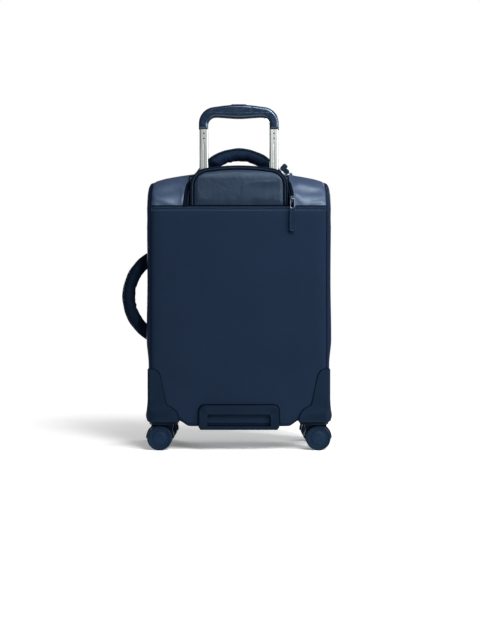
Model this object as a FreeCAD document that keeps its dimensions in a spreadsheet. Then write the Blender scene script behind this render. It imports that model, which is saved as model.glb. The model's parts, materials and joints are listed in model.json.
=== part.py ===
"""Softside upright suitcase on four twin-wheel casters, as an assembly of separate pieces.

Millimetres, +Z up. The origin is on the floor under the middle of the case. The back of the case,
with the trolley handle, faces -Y, and the lid faces +Y. The main zip runs over the top and down both
sides in the plane y = zip_y, and the lid bends open about hinge_z, low on the front face.
"""

import FreeCAD, Part
import math
import os

import Sketcher
from FreeCAD import Placement, Rotation, Vector

DIMENSIONS = {
    # body
    "half_width": 175.0,
    "rear_y": -110.0,
    "front_y": 100.0,
    "base_z": 47.0,
    "platform_z": 58.0,  # underside over the casters
    "crown_z": 545.0,
    "crown_apex": 559.85,  # where the two slopes of the top would meet without the crown
    "crown_side": 524.85,
    "crown_round": 750.0,
    "shoulder_round": 16.0,
    "rear_top_round": 70.0,
    "front_top_round": 35.0,
    "rear_side_round": 14.0,
    "front_side_round": 30.0,
    "belly_half": 95.0,
    "belly_edge": 117.0,
    "wall": 3.0,
    "seam_half": 169.0,
    "seam_z": 469.0,
    "zip_y": -10.0,
    "hinge_z": 165.0,
    "tape": 1.0,
    "lining_in": 9.0,
    "lining_rear": -68.0,
    # handle-compartment flap
    "flap_half": 93.4,
    "flap_top": 548.0,
    "flap_round": 35.0,
    "mouth_half": 94.8,
    "mouth_top": 538.0,  # level, so that the corners clear the trolley tubes
    # trolley
    "tube_x": 68.0,
    "tube_y": -88.0,
    "inner_wide": 17.0,
    "inner_deep": 12.0,
    "middle_wide": 19.6,
    "middle_deep": 14.6,
    "outer_wide": 22.4,
    "outer_deep": 17.4,
    "socket_z": 463.6,
    "inner_low": 233.0,
    "grip_low": 622.0,
    "grip_half": 77.8,
    "grip_top_z": 669.6,
    "grip_shoulder_z": 661.1,
    "grip_apex_z": 672.0,  # where the two slopes of the domed top would meet
    "grip_dome": 246.0,
    "grip_inner_half": 59.6,
    "grip_under": 645.8,
    "grip_belly": 643.0,  # where the two slopes of the swelling under the bar would meet
    "grip_deep": 20.0,
    "grip_split": 653.7,
    "press": 3.0,
    "rivet_drop": 8.0,
    # carry handles
    "handle_ring": 86.7,
    "handle_fat": 13.0,
    "top_handle_y": -42.0,
    "top_handle_z": 493.6,
    "side_handle_x": -131.0,
    "side_handle_y": -55.0,
    "side_handle_z": 298.5,
    # casters
    "caster_x": 146.5,
    "caster_mid_y": -5.0,
    "caster_reach_y": 75.0,
    "trail": 7.0,
    "wheel_round": 24.0,
    "hub_round": 18.6,
    "axle_round": 2.5,
    "pin_round": 4.0,
    "fork_top": 54.7,
    "guard_out": 5.2,
    "guard_low": 55.4,
}
RUNNING = 0.05  # room on the radius of a shaft that turns in a hole
PAST = 20.0  # how far a cutting piece reaches past what it cuts
FAR = 600.0  # higher than everything inside the case
# For each bottom corner: its side and its end, as the signs of x and y.
CORNERS = {
    "rear_left": (-1, -1),
    "rear_right": (1, -1),
    "front_left": (-1, 1),
    "front_right": (1, 1),
}
SCREW_SPREAD = 17.0
SLIDER_HIGH = 4.0  # a zip slider's block
PIVOT_UP = 2.0  # from the top of the block to the line that its pull turns about
CROWN_LIFT = 2.7  # a slider's underside stands this far off the fabric, to clear the opening lid
# For each slider of the main zip: its x, the lean and length of its pull, and the tab's offset.
MAIN_SLIDERS = {"left": (80.0, 53.0, 25.0, -2.6), "right": (104.0, 157.0, 17.0, 2.6)}
POCKET_ZIP = 398.0
HANDLE_TRIM = 48.0  # degrees of the half circle that the padding leaves free at each end
TAB_OUT = 71.0  # from the middle of a handle to the middle of a sewn-in end


class Dim:
    """A size that carries its number and the spreadsheet expression that drives it."""

    def __init__(self, value, text):
        self.value, self.text = float(value), text

    def _join(self, other, sign, value):
        return Dim(value, f"({self.text} {sign} {other.text})")

    def __add__(self, other):
        other = dim(other)
        return self._join(other, "+", self.value + other.value)

    def __sub__(self, other):
        other = dim(other)
        return self._join(other, "-", self.value - other.value)

    def __mul__(self, other):
        other = dim(other)
        return self._join(other, "*", self.value * other.value)

    def __truediv__(self, other):
        other = dim(other)
        return self._join(other, "/", self.value / other.value)

    def __neg__(self):
        return Dim(-self.value, f"(0 - {self.text})")

    def __radd__(self, other):
        return dim(other) + self

    def __rsub__(self, other):
        return dim(other) - self

    def __rmul__(self, other):
        return dim(other) * self


def dim(size):
    return size if isinstance(size, Dim) else Dim(size, f"({float(size):.5f})")


class Sheet:
    """The document's spreadsheet of driving dimensions, read as attributes that are Dims."""

    def __init__(self, document, cells):
        self._cells = cells
        sheet = document.addObject("Spreadsheet::Sheet", "Dims")
        for row, (name, value) in enumerate(cells.items(), start=1):
            sheet.set(f"A{row}", name)
            sheet.set(f"B{row}", str(value))
            sheet.setAlias(f"B{row}", name)

    def __getattr__(self, name):
        return Dim(self._cells[name], f"Dims.{name}")


doc = FreeCAD.newDocument("suitcase")
S = Sheet(doc, DIMENSIONS)
doc.recompute()
NODES = {}

# ---------------------------------------------------------------- building blocks


def bind(item, prop, size):
    """Drives a property of a document object from the spreadsheet."""
    item.setExpression(prop, dim(size).text)


def node(name, item):
    """Marks a document object as a finished piece: its Label names its file."""
    item.Label = name
    NODES[name] = item
    return item


def box(x0, x1, y0, y1, z0, z1):
    item = doc.addObject("Part::Box", "Block")
    for prop, low, high in (("Length", x0, x1), ("Width", y0, y1), ("Height", z0, z1)):
        bind(item, prop, dim(high) - low)
    for axis, low in (("x", x0), ("y", y0), ("z", z0)):
        bind(item, f"Placement.Base.{axis}", low)
    return item


def rod(radius, start, length, direction):
    """A cylinder from start along a unit direction. start is three sizes."""
    item = doc.addObject("Part::Cylinder", "Rod")
    bind(item, "Radius", radius)
    bind(item, "Height", length)
    item.Placement = Placement(Vector(), Rotation(Vector(0, 0, 1), Vector(*direction)))
    for axis, low in zip("xyz", start):
        bind(item, f"Placement.Base.{axis}", low)
    return item


def compound(*items):
    item = doc.addObject("Part::Compound", "Group")
    item.Links = list(items)
    return item


def fuse(*items):
    item = doc.addObject("Part::MultiFuse", "Union")
    item.Shapes = list(items)
    return item


def cut(base, *tools):
    item = doc.addObject("Part::Cut", "Difference")
    item.Base = base
    item.Tool = tools[0] if len(tools) == 1 else compound(*tools)
    return item


def common(base, tool):
    item = doc.addObject("Part::Common", "Intersection")
    item.Base = base
    item.Tool = tool
    return item


def mirror(source, normal=(1, 0, 0)):
    item = doc.addObject("Part::Mirroring", "Mirrored")
    item.Source = source
    item.Normal = Vector(*normal)
    return item


def both_sides(source):
    """A piece and its mirror image across x = 0, as separate solids of one node."""
    return compound(source, mirror(source))


# Sketch axes of each origin plane, and the world axis its pad runs along.
PLANES = {"XY": ("x", "y", "z"), "XZ": ("x", "z", "y"), "YZ": ("y", "z", "x")}


def outline(body, plane, points, offset):
    """A closed polygon sketch whose corners are all driven from the spreadsheet."""
    sketch = body.newObject("Sketcher::SketchObject", "Outline")
    support = [p for p in body.Origin.OriginFeatures if p.Role == f"{plane}_Plane"][0]
    sketch.AttachmentSupport = [(support, "")]
    sketch.MapMode = "FlatFace"
    bind(sketch, "AttachmentOffset.Base.z", offset)
    corners = [(dim(u), dim(v)) for u, v in points]
    count = len(corners)
    for i, (u, v) in enumerate(corners):
        after_u, after_v = corners[(i + 1) % count]
        start = Vector(u.value, v.value, 0)
        sketch.addGeometry(Part.LineSegment(start, Vector(after_u.value, after_v.value, 0)))
    joints = [Sketcher.Constraint("Coincident", i, 2, (i + 1) % count, 1) for i in range(count)]
    sketch.addConstraint(joints)
    for i, corner in enumerate(corners):
        for kind, line, size in (("DistanceX", -2, corner[0]), ("DistanceY", -1, corner[1])):
            if abs(size.value) < 1e-9:
                sketch.addConstraint(Sketcher.Constraint("PointOnObject", i, 1, line))
            else:
                index = sketch.addConstraint(Sketcher.Constraint(kind, i, 1, size.value))
                sketch.setExpression(f"Constraints[{index}]", size.text)
    return sketch


def round_corners(body, feature, plane, rounds, points):
    """Fillets the edges that stand on the named corners of a padded outline."""
    first, second, _ = PLANES[plane]
    by_radius = {}
    for index, radius in rounds.items():
        by_radius.setdefault(dim(radius).text, (radius, []))[1].append(points[index])
    for radius, corners in by_radius.values():
        doc.recompute()
        names = []
        for number, edge in enumerate(feature.Shape.Edges, start=1):
            ends = [v.Point for v in edge.Vertexes]
            for u, v in corners:
                near = [
                    abs(getattr(p, first) - dim(u).value) + abs(getattr(p, second) - dim(v).value)
                    for p in ends
                ]
                if len(ends) == 2 and max(near) < 1e-4:
                    names.append(f"Edge{number}")
        feature = fillet(body, feature, names, radius)
    return feature


def fillet(body, feature, names, radius):
    item = body.newObject("PartDesign::Fillet", "Round")
    item.Base = (feature, names)
    bind(item, "Radius", radius)
    body.Tip = item
    return item


def prism(plane, points, low, high, rounds=None):
    """A PartDesign body: an outline padded from low to high, with some of its corners rounded."""
    body = doc.addObject("PartDesign::Body", "Prism")
    along_minus = plane == "XZ"
    start = dim(high) * -1 if along_minus else low
    sketch = outline(body, plane, points, start)
    pad = body.newObject("PartDesign::Pad", "Pad")
    pad.Profile = sketch
    bind(pad, "Length", dim(high) - low)
    body.Tip = pad
    if rounds:
        round_corners(body, pad, plane, rounds, points)
    return body


def soften(body, pick, radius):
    """Fillets every edge of a body's tip that the pick function accepts."""
    doc.recompute()
    tip = body.Tip
    names = [f"Edge{n}" for n, e in enumerate(tip.Shape.Edges, start=1) if pick(e)]
    fillet(body, tip, names, radius)
    return body


def turned(points):
    """A PartDesign body: a half section in the YZ plane turned about the Y axis."""
    body = doc.addObject("PartDesign::Body", "Turned")
    sketch = outline(body, "YZ", points, 0.0)
    spin = body.newObject("PartDesign::Revolution", "Revolution")
    spin.Profile = sketch
    spin.ReferenceAxis = (sketch, ["H_Axis"])
    spin.Angle = 360.0
    body.Tip = spin
    return body


def rectangle(u0, u1, v0, v1):
    return [(u0, v0), (u1, v0), (u1, v1), (u0, v1)]


def all_corners(radius):
    """The rounds of a rectangle whose four corners are alike."""
    return {corner: radius for corner in range(4)}


def edge_lies_at(axis, place):
    """A pick function: the whole edge lies in the plane axis = place."""
    return lambda edge: all(abs(getattr(v.Point, axis) - place) < 1e-4 for v in edge.Vertexes)


# ---------------------------------------------------------------- the case's form


def form(inset):
    """The closed outer form of the case, moved inwards by inset: three outlines intersected."""
    t = dim(inset)
    half = S.half_width - t
    lean = 0.236  # how far a corner of the sloping belly edge moves in for each mm of inset
    belly, edge = S.belly_half - t * lean, S.belly_edge - t * lean
    low, platform = S.base_z + t, S.platform_z + t
    front_view = [
        (-belly, low),
        (belly, low),
        (edge, platform),
        (half, platform),
        (half, S.crown_side - t),
        (0.0, S.crown_apex - t),
        (-half, S.crown_side - t),
        (-half, platform),
        (-edge, platform),
    ]
    shoulder = S.shoulder_round - t
    foot = dim(12.0) - t
    rounds = {4: shoulder, 6: shoulder, 5: S.crown_round - t}
    if foot.value > 1.0:
        rounds.update({3: foot, 7: foot})
    front = prism("XZ", front_view, S.rear_y - PAST, S.front_y + PAST, rounds)
    side_view = rectangle(S.rear_y + t, S.front_y - t, dim(0.0), S.crown_z - t)
    side_rounds = {3: S.rear_top_round - t, 2: S.front_top_round - t}
    side = prism("YZ", side_view, -S.half_width - PAST, S.half_width + PAST, side_rounds)
    top_view = rectangle(-half, half, S.rear_y + t, S.front_y - t)
    rear, forward = S.rear_side_round - t, S.front_side_round - t
    plan = prism("XY", top_view, 0.0, S.crown_z + PAST, {0: rear, 1: rear, 2: forward, 3: forward})
    return common(common(front, side), plan)


def doorway(half, top, radius, low, high, foot):
    """A prism along Y with straight sides, rounded shoulders and a level top."""
    points = rectangle(-half, half, dim(foot), dim(top))
    return prism("XZ", points, low, high, {2: radius, 3: radius})


def arch(half, top, radius, low, high, foot):
    """A prism along Y with straight sides, rounded shoulders and a gently domed top."""
    slope = 0.16
    dome = half + 287.0
    apex = dim(top) + dome * 0.0127  # where the slopes would meet without the dome
    points = [
        (-half, foot),
        (half, foot),
        (half, apex - half * slope),
        (0.0, apex),
        (-half, apex - half * slope),
    ]
    return prism("XZ", points, low, high, {2: radius, 3: dome, 4: radius})


# ---------------------------------------------------------------- soft shell of the body


def body_shell():
    outer = form(0.0)
    skin = cut(outer, form(S.wall))
    seam, out = S.seam_half, S.half_width + 1
    rear, front = S.rear_y - 1, S.front_y + 1
    low_side = S.platform_z + 12
    upper, lower = S.zip_y - 1, S.hinge_z - 0.5

    node("rear_panel", common(skin, box(-seam, seam, rear, S.rear_y + 14, low_side, S.seam_z)))

    side = fuse(
        box(seam, out, rear, upper, low_side, FAR),
        box(S.half_width - 30, out, upper, front, low_side, lower),
    )
    node("side_panels", both_sides(common(skin, side)))

    behind = S.rear_y - PAST
    mouth = doorway(S.mouth_half, S.mouth_top, S.flap_round, behind, -60.0, S.seam_z - 5)
    roof = common(skin, box(-seam, seam, rear, upper, S.seam_z, FAR))
    node("top_panel", cut(roof, mouth))

    apron = box(S.half_width * -1 + 30, S.half_width - 30, 60.0, front, low_side, lower)
    belly = fuse(box(-out, out, rear, front, 0.0, low_side), apron)
    node("base_panel", cut(common(skin, belly), *caster_holes()))

    lid_front = box(-145.0, 145.0, 80.0, front, S.hinge_z + 0.5, 505.0)
    lid_all = box(-out, out, S.zip_y + 1, front, S.hinge_z + 0.5, FAR)
    node("front_panel", common(skin, lid_front))
    node("lid_side_band", common(skin, cut(lid_all, lid_front)))
    return outer


def zip_tapes(outer):
    """The two halves of the main zip, and the fixed half of the flap's zip, lying on the fabric."""
    raised = cut(form(-S.tape), outer)
    out, top = S.half_width + 5, S.crown_z + 5
    low = S.hinge_z + 1
    node("body_zip_tape", common(raised, box(-out, out, S.zip_y - 7, S.zip_y - 0.3, low, top)))
    node("lid_zip_tape", common(raised, box(-out, out, S.zip_y + 0.3, S.zip_y + 7, low, top)))
    behind = S.rear_y - PAST
    round_out = S.flap_round + 12
    wide = doorway(S.mouth_half + 15, S.mouth_top + 12, round_out, behind, -62.0, S.seam_z + 1)
    hole = doorway(S.mouth_half, S.mouth_top, S.flap_round, behind, -62.0, S.seam_z - 5)
    node("flap_zip_tape", common(raised, cut(wide, hole)))


def lining():
    """Thin fabric trays inside the body and the lid, clear of the frame and the trolley tubes."""
    outside, inside = form(S.lining_in), form(S.lining_in + 1)
    out = S.half_width
    rear, mouth = S.lining_rear, S.zip_y - 2
    room = fuse(
        box(-out, out, rear, mouth, 0.0, FAR),
        box(-out, out, mouth, S.front_y, 0.0, S.hinge_z - 2),
    )
    hollow = common(inside, box(-out, out, rear + 1, S.front_y, 0.0, FAR))
    node("body_lining", cut(common(outside, room), hollow))
    lid_room = box(-out, out, S.zip_y + 2, S.front_y, S.hinge_z + 2, FAR)
    node("lid_lining", common(cut(outside, inside), lid_room))


def frame_parts():
    """Stiff parts that hold the soft case in shape."""
    hoop = cut(form(4.6), form(6.2))
    out = S.half_width
    node("frame_hoop", common(hoop, box(-out, out, S.zip_y - 18, S.zip_y - 8, 70.5, FAR)))
    board = box(-150.0, 150.0, S.rear_y + 3.2, S.rear_y + 4.8, 72.0, 455.0)
    node("rear_board", board)
    thick = 3.0
    low, high = S.base_z + S.wall + 0.2, S.platform_z + S.wall + 0.2
    edge = S.belly_edge - 1
    belly = S.belly_half - 1
    wide = 160.0
    points = [
        (-wide, high),
        (-edge, high),
        (-belly, low),
        (belly, low),
        (edge, high),
        (wide, high),
        (wide, high + thick),
        (edge - 1.4, high + thick),
        (belly - 1.4, low + thick),
        (-belly + 1.4, low + thick),
        (-edge + 1.4, high + thick),
        (-wide, high + thick),
    ]
    plate = prism("XZ", points, S.rear_y + 12, S.front_y - 12)
    node("base_plate", cut(plate, *caster_holes()))


def packing_straps():
    """Four elastic straps that meet at a buckle, lying against the lining of the empty case."""
    buckle = 31.0
    reach, rise, wide = 148.0, 150.0, 16.0
    centre = 300.0
    bed = S.lining_rear + 1.2
    arm = [
        (12.0, centre - wide / 2),
        (reach, centre + rise - wide),
        (reach, centre + rise + wide / 2),
        (12.0, centre + wide),
    ]
    upper = prism("XZ", arm, bed, bed + 1.5)
    lower_arm = [(u, 2 * centre - v) for u, v in reversed(arm)]
    lower = prism("XZ", lower_arm, bed, bed + 1.5)
    ring = cut(
        prism("XZ", rectangle(-14.0, 14.0, centre - buckle, centre + buckle), bed + 1.6, bed + 3.6),
        prism("XZ", rectangle(-9.0, 9.0, centre - 6, centre + 6), bed + 1, bed + 5),
    )
    node("packing_straps", compound(upper, mirror(upper), lower, mirror(lower), ring))


# ---------------------------------------------------------------- corners, base grip and casters



def caster_at(side, end):
    """Where a corner's swivel axis meets the floor."""
    return S.caster_x * side, S.caster_mid_y + S.caster_reach_y * end


def caster_holes():
    """Holes for the swivel pins and their mounting screws, through everything at the corners."""
    holes = []
    for side, end in CORNERS.values():
        x, y = caster_at(side, end)
        holes.append(rod(S.pin_round + 0.1, (x, y, 30.0), 60.0, (0, 0, 1)))
        for sign in (-1, 1):
            holes.append(rod(2.1, (x, y + SCREW_SPREAD * sign, 50.0), 30.0, (0, 0, 1)))
    return holes


def guard_pair(outer, raised, end):
    """The moulded guards of two corners: a boot that wraps the corner, and a round foot below it."""
    rear_view = [
        (185.5, 157.0),
        (160.0, 157.0),
        (152.0, 146.0),
        (140.0, 88.5),
        (128.0, 82.5),
        (119.5, 73.5),
        (115.5, 61.0),
        (115.5, 40.0),
        (190.0, 40.0),
    ]
    rounds = {1: 9.0, 2: 9.0, 3: 2.5, 4: 10.0, 5: 12.0}
    face = S.rear_y * -1 if end < 0 else S.front_y
    side_view = [
        ((face + 12) * end, 160.0),
        ((face - 13) * end, 157.0),
        ((face - 22) * end, 147.0),
        ((face - 35) * end, 92.0),
        ((face - 61) * end, 73.0),
        ((face - 66) * end, 61.0),
        ((face - 66) * end, 40.0),
        ((face + 12) * end, 40.0),
    ]
    span = sorted((10.0 * end, 130.0 * end))
    seen_from_end = prism("XZ", rear_view, span[0], span[1], rounds)
    seen_from_side = prism("YZ", side_view, 100.0, 190.0, {2: 10.0, 3: 6.0, 4: 12.0})
    boot = common(common(raised, seen_from_end), seen_from_side)
    centre = caster_at(1, end)
    foot = rod(33.0, (*centre, 56.0), 17.0, (0, 0, 1))
    sleeve = doc.addObject("Part::Cone", "Skirt")
    bind(sleeve, "Radius1", 33.0)
    bind(sleeve, "Radius2", 30.5)
    bind(sleeve, "Height", 16.0)
    for axis, place in zip("xyz", (*centre, dim(73.0))):
        bind(sleeve, f"Placement.Base.{axis}", place)
    skirt = cut(fuse(foot, sleeve), outer)
    piece = cut(fuse(boot, skirt), *caster_holes())
    return [piece, mirror(piece)]


def flared(plane, low_side, high_side, slim):
    """A prism whose two sides stand slim mm off the case, and swell out towards the lower edge."""
    out, foot = S.guard_out, S.guard_low
    swell = [(out - 2.0, foot), (out - 0.6, 60.0), (out, 66.0), (out - 0.9, 72.0), (out - 2.4, 79.0)]
    swell += [(slim + 0.7, 89.0), (slim, 101.0), (slim, 160.0)]
    points = [(high_side + step, z) for step, z in swell]
    points += [(low_side - step, z) for step, z in reversed(swell)]
    return prism(plane, points, -260.0, 260.0)


def corner_guards(outer):
    round_sides = flared("XZ", -S.half_width, S.half_width, 0.9)
    round_ends = flared("YZ", S.rear_y, S.front_y, 2.0)
    raised = cut(common(common(form(-S.guard_out), round_sides), round_ends), outer)
    pairs = guard_pair(outer, raised, -1) + guard_pair(outer, raised, 1)
    node("corner_guards", compound(*pairs))


def bottom_grip():
    """The moulded lifting grip at the bottom of the back, hooked under the case."""
    half, low, high = 77.5, 41.0, 88.5
    face = S.rear_y - 8
    points = [(-half + 4, low), (half - 4, low), (half, low + 5), (half, high)]
    points += [(-half, high), (-half, low + 5)]
    frame = prism("XZ", points, face, S.rear_y, {3: 12.0, 4: 12.0})
    soften(frame, edge_lies_at("y", face.value), 2.8)
    opening = prism("XZ", rectangle(-61.0, 61.0, 48.5, 71.0), face - 1, S.rear_y + 1, {2: 5.0, 3: 5.0})
    shelf_view = [(-half + 4, low), (half - 4, low), (half - 1, low + 5), (-half + 1, low + 5)]
    shelf = prism("XZ", shelf_view, S.rear_y - 0.5, S.rear_y + 34)
    node("bottom_grip", fuse(cut(frame, opening), shelf))


def caster(name, side, end):
    """One swivelling twin-wheel caster, drawn about its own swivel axis with the axle along Y."""
    x, y = caster_at(side, end)
    trail = S.trail * side
    axle_z = S.wheel_round
    web_half = 7.5

    web_view = [
        (x - 20 * side, 50.0),
        (x - 15 * side, 34.0),
        (x + trail - 9 * side, 17.0),
        (x + trail + 9 * side, 17.0),
        (x + trail + 17 * side, 30.0),
        (x + 24 * side, 52.0),
    ]
    if side < 0:
        web_view.reverse()
    web = prism("XZ", web_view, y - web_half, y + web_half, {2: 7.0, 3: 7.0})
    plate = rod(28.0, (x, y, 49.6), S.fork_top - 49.6, (0, 0, 1))
    plate_round = doc.addObject("Part::Fillet", "Softened")
    plate_round.Base = plate
    plate_round.Edges = [(1, 1.5, 1.5), (3, 1.5, 1.5)]
    fender = rod(27.0, (x + trail, y - web_half, axle_z), 2 * web_half, (0, 1, 0))
    fender = cut(fender, box(x - 60, x + 60, y - 20, y + 20, -10.0, axle_z - 2))
    pin_hole = rod(S.pin_round + RUNNING, (x, y, 34.0), 30.0, (0, 0, 1))
    axle_hole = rod(S.axle_round + RUNNING, (x + trail, y - 10, axle_z), 20.0, (0, 1, 0))
    node(f"fork_{name}", cut(fuse(web, fender, plate_round), pin_hole, axle_hole))

    node(f"axle_{name}", rod(S.axle_round, (x + trail, y - 22, axle_z), 44.0, (0, 1, 0)))

    hub_view = [
        (8.5, S.axle_round + 0.02),
        (22.2, S.axle_round + 0.02),
        (22.2, 0.0),
        (25.2, 0.0),
        (24.7, 9.0),
        (23.4, 13.5),
        (21.8, 14.4),
        (22.4, 15.4),
        (22.4, S.hub_round - 0.6),
        (21.6, S.hub_round),
        (8.5, S.hub_round),
    ]
    bore = S.hub_round + 0.02
    tread = S.wheel_round
    tyre_view = [
        (9.0, bore),
        (22.6, bore),
        (23.4, bore + 0.9),
        (23.6, tread - 2.2),
        (22.9, tread - 0.8),
        (21.4, tread),
        (10.6, tread),
        (9.4, tread - 0.8),
        (8.8, tread - 2.2),
    ]
    for label, view in (("hubs", hub_view), ("tyres", tyre_view)):
        pair = []
        for sign in (-1, 1):
            points = [(v[0] * sign, v[1]) for v in view]
            wheel = turned(points)
            for axis, place in zip("xyz", (x + trail, y, axle_z)):
                bind(wheel, f"Placement.Base.{axis}", place)
            pair.append(wheel)
        node(f"{label}_{name}", compound(*pair))


def caster_fixings():
    pins, screws = [], []
    for side, end in CORNERS.values():
        x, y = caster_at(side, end)
        seat = S.platform_z + S.wall + 3.3
        shaft = rod(S.pin_round, (x, y, 36.0), seat - 35.5, (0, 0, 1))
        pins.append(fuse(shaft, rod(8.0, (x, y, seat), 2.2, (0, 0, 1))))
        for sign in (-1, 1):
            at = (x, y + SCREW_SPREAD * sign)
            shank = rod(2.0, (*at, 57.0), seat - 56.5, (0, 0, 1))
            screws.append(fuse(shank, rod(3.8, (*at, seat), 2.0, (0, 0, 1))))
    node("caster_kingpins", compound(*pins))
    node("mount_screws", compound(*screws))


# ---------------------------------------------------------------- trolley handle


def tube(wide, deep, wall, low, high, corner):
    """A rounded rectangular tube about x = tube_x, y = tube_y."""
    x, y = S.tube_x, S.tube_y
    w, d = dim(wide) / 2, dim(deep) / 2
    solid = prism("XY", rectangle(x - w, x + w, y - d, y + d), low, high, all_corners(corner))
    w, d = w - wall, d - wall
    bore = prism("XY", rectangle(x - w, x + w, y - d, y + d), dim(low) - 1, dim(high) + 1)
    return cut(solid, bore)


def rivet_heights():
    """The two rivet holes that join the grip's spigots to the inner tubes."""
    return S.grip_low - S.rivet_drop, S.grip_low - S.rivet_drop - 10


def trolley():
    x, y = S.tube_x, S.tube_y
    inner_wall = 1.2
    outer = tube(S.outer_wide, S.outer_deep, 1.25, 60.0, S.socket_z - 0.1, 2.5)
    node("outer_tubes", both_sides(outer))
    middle = tube(S.middle_wide, S.middle_deep, 1.15, 72.0, S.socket_z - 0.6, 2.5)
    node("middle_tubes", both_sides(middle))

    stage = tube(S.inner_wide, S.inner_deep, inner_wall, S.inner_low, S.grip_low - 0.2, 2.5)
    rear = y - S.inner_deep / 2
    groove = box(x - 1.5, x + 1.5, rear - 1, rear + 0.7, S.inner_low - 1, S.grip_low - 26)
    rivets = [rod(1.5, (x, rear - 1, z), 3.0, (0, 1, 0)) for z in rivet_heights()]
    port = rod(2.1, (x, y, S.inner_low + 7), 12.0, (1, 0, 0))
    node("inner_tubes", both_sides(cut(stage, groove, port, *rivets)))

    socket = box(-86.0, 86.0, y - 14, y + 14, S.socket_z, S.socket_z + 4)
    wide, deep = S.outer_wide / 2 - 1.2, S.outer_deep / 2 - 1.2
    ways = [
        box(x * sign - wide, x * sign + wide, y - deep, y + deep, S.socket_z - 1, S.socket_z + 5)
        for sign in (-1, 1)
    ]
    node("tube_socket", cut(socket, *ways))

    plate = box(-86.0, 86.0, y - 12, y + 12, 54.0, 59.9)
    cup_wide, cup_deep = S.outer_wide / 2 + 1.5, S.outer_deep / 2 + 1.5
    cups = [
        box(x * sign - cup_wide, x * sign + cup_wide, y - cup_deep, y + cup_deep, 54.0, 76.0)
        for sign in (-1, 1)
    ]
    wide, deep = S.outer_wide / 2 + 0.1, S.outer_deep / 2 + 0.1
    pockets = [
        box(x * sign - wide, x * sign + wide, y - deep, y + deep, 59.9, 80.0) for sign in (-1, 1)
    ]
    node("tube_foot", cut(fuse(plate, *cups), *pockets))

    handle_well()
    trolley_grip()


def handle_well():
    """The lined compartment that the lowered grip sinks into, open at the top of the back."""
    half = S.mouth_half + 3
    rear, front = S.rear_y + 3.4, -70.0
    floor = 461.0
    block = box(-half, half, rear, front, floor, 560.0)
    hollow = box(-half + 2, half - 2, rear + 1.5, front - 1.5, floor + 2.4, 570.0)
    drop = box(-82.0, 82.0, -100.0, -76.0, floor - 1, floor + 4)
    seam_cut = box(-half - 1, half + 1, rear - 1, rear + 1.5, S.seam_z - 0.5, 570.0)
    tray = cut(block, hollow, drop, seam_cut)
    node("trolley_well", common(tray, form(S.wall + 0.3)))


def trolley_grip():
    x, y = S.tube_x, S.tube_y
    rod_x = x - 1.5
    half, inner = S.grip_half, S.grip_inner_half
    low, under = S.grip_low, S.grip_under
    points = [
        (-half, low),
        (-inner, low),
        (-inner, under),
        (-40.0, under),
        (0.0, S.grip_belly),
        (40.0, under),
        (inner, under),
        (inner, low),
        (half, low),
        (half, S.grip_shoulder_z),
        (0.0, S.grip_apex_z),
        (-half, S.grip_shoulder_z),
    ]
    rounds = {2: 15.0, 4: 150.0, 6: 15.0, 9: 32.0, 10: S.grip_dome, 11: 32.0}
    rear, front = y - S.grip_deep / 2, y + S.grip_deep / 2
    grip = prism("XZ", points, rear, front, rounds)
    long_edges = [edge_lies_at("y", rear.value), edge_lies_at("y", front.value)]
    soften(grip, lambda edge: any(pick(edge) for pick in long_edges), 6.0)

    travel, split = S.press, S.grip_split
    bar_room = box(-69.0, 69.0, y - 4, y + 4, split - 2.5 - travel, split + 0.5)
    legs, bores = [], []
    for sign in (-1, 1):
        legs.append(box(x * sign - 7.1, x * sign + 7.1, y - 4.6, y + 4.6, low - 24, low + 1))
        bores.append(rod(2.6, (rod_x * sign, y, low - 26), split - low + 26, (0, 0, 1)))
        bores += [rod(1.5, (x * sign, y - 6, z), 4.0, (0, 1, 0)) for z in rivet_heights()]
    slot = box(-15.2, 15.2, y - 6.2, y + 6.2, split - 1, S.grip_top_z + 5)
    below = box(-90.0, 90.0, y - 30, y + 30, low - 1, split)
    above = box(-90.0, 90.0, y - 30, y + 30, split + 0.02, S.grip_top_z + 1)
    node("grip_core", cut(fuse(common(grip, below), *legs), bar_room, *bores))
    node("grip_top", cut(common(grip, above), slot, bar_room))

    proud = S.grip_top_z + 1.0
    face = rectangle(-15.0, 15.0, y - 6, y + 6)
    cap = prism("XY", face, split + travel + 0.1, proud, all_corners(3.0))
    soften(cap, edge_lies_at("z", proud.value), 1.2)
    stem = box(-5.0, 5.0, y - 3, y + 3, split - 0.2, split + travel + 0.6)
    node("release_button", fuse(cap, stem))
    bar = box(-68.6, 68.6, y - 3, y + 3, split - 2.3, split - 0.3)
    foot = S.inner_low + 10.5
    rods = [rod(2.0, (rod_x * sign, y, foot), split - 1 - foot, (0, 0, 1)) for sign in (-1, 1)]
    node("release_rods", fuse(bar, *rods))
    reach = x + S.inner_wide / 2
    for name, sign in (("left", -1), ("right", 1)):
        node(f"lock_pin_{name}", rod(2.0, (x * sign + 4 * sign, y, S.inner_low + 7),
                                     reach - x - 4, (sign, 0, 0)))


# ---------------------------------------------------------------- flap, sliders and pulls


def flap():
    panel = arch(S.flap_half, S.flap_top, S.flap_round, S.rear_y, S.rear_y + 2.5, S.seam_z + 1.5)
    node("flap_panel", panel)


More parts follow.
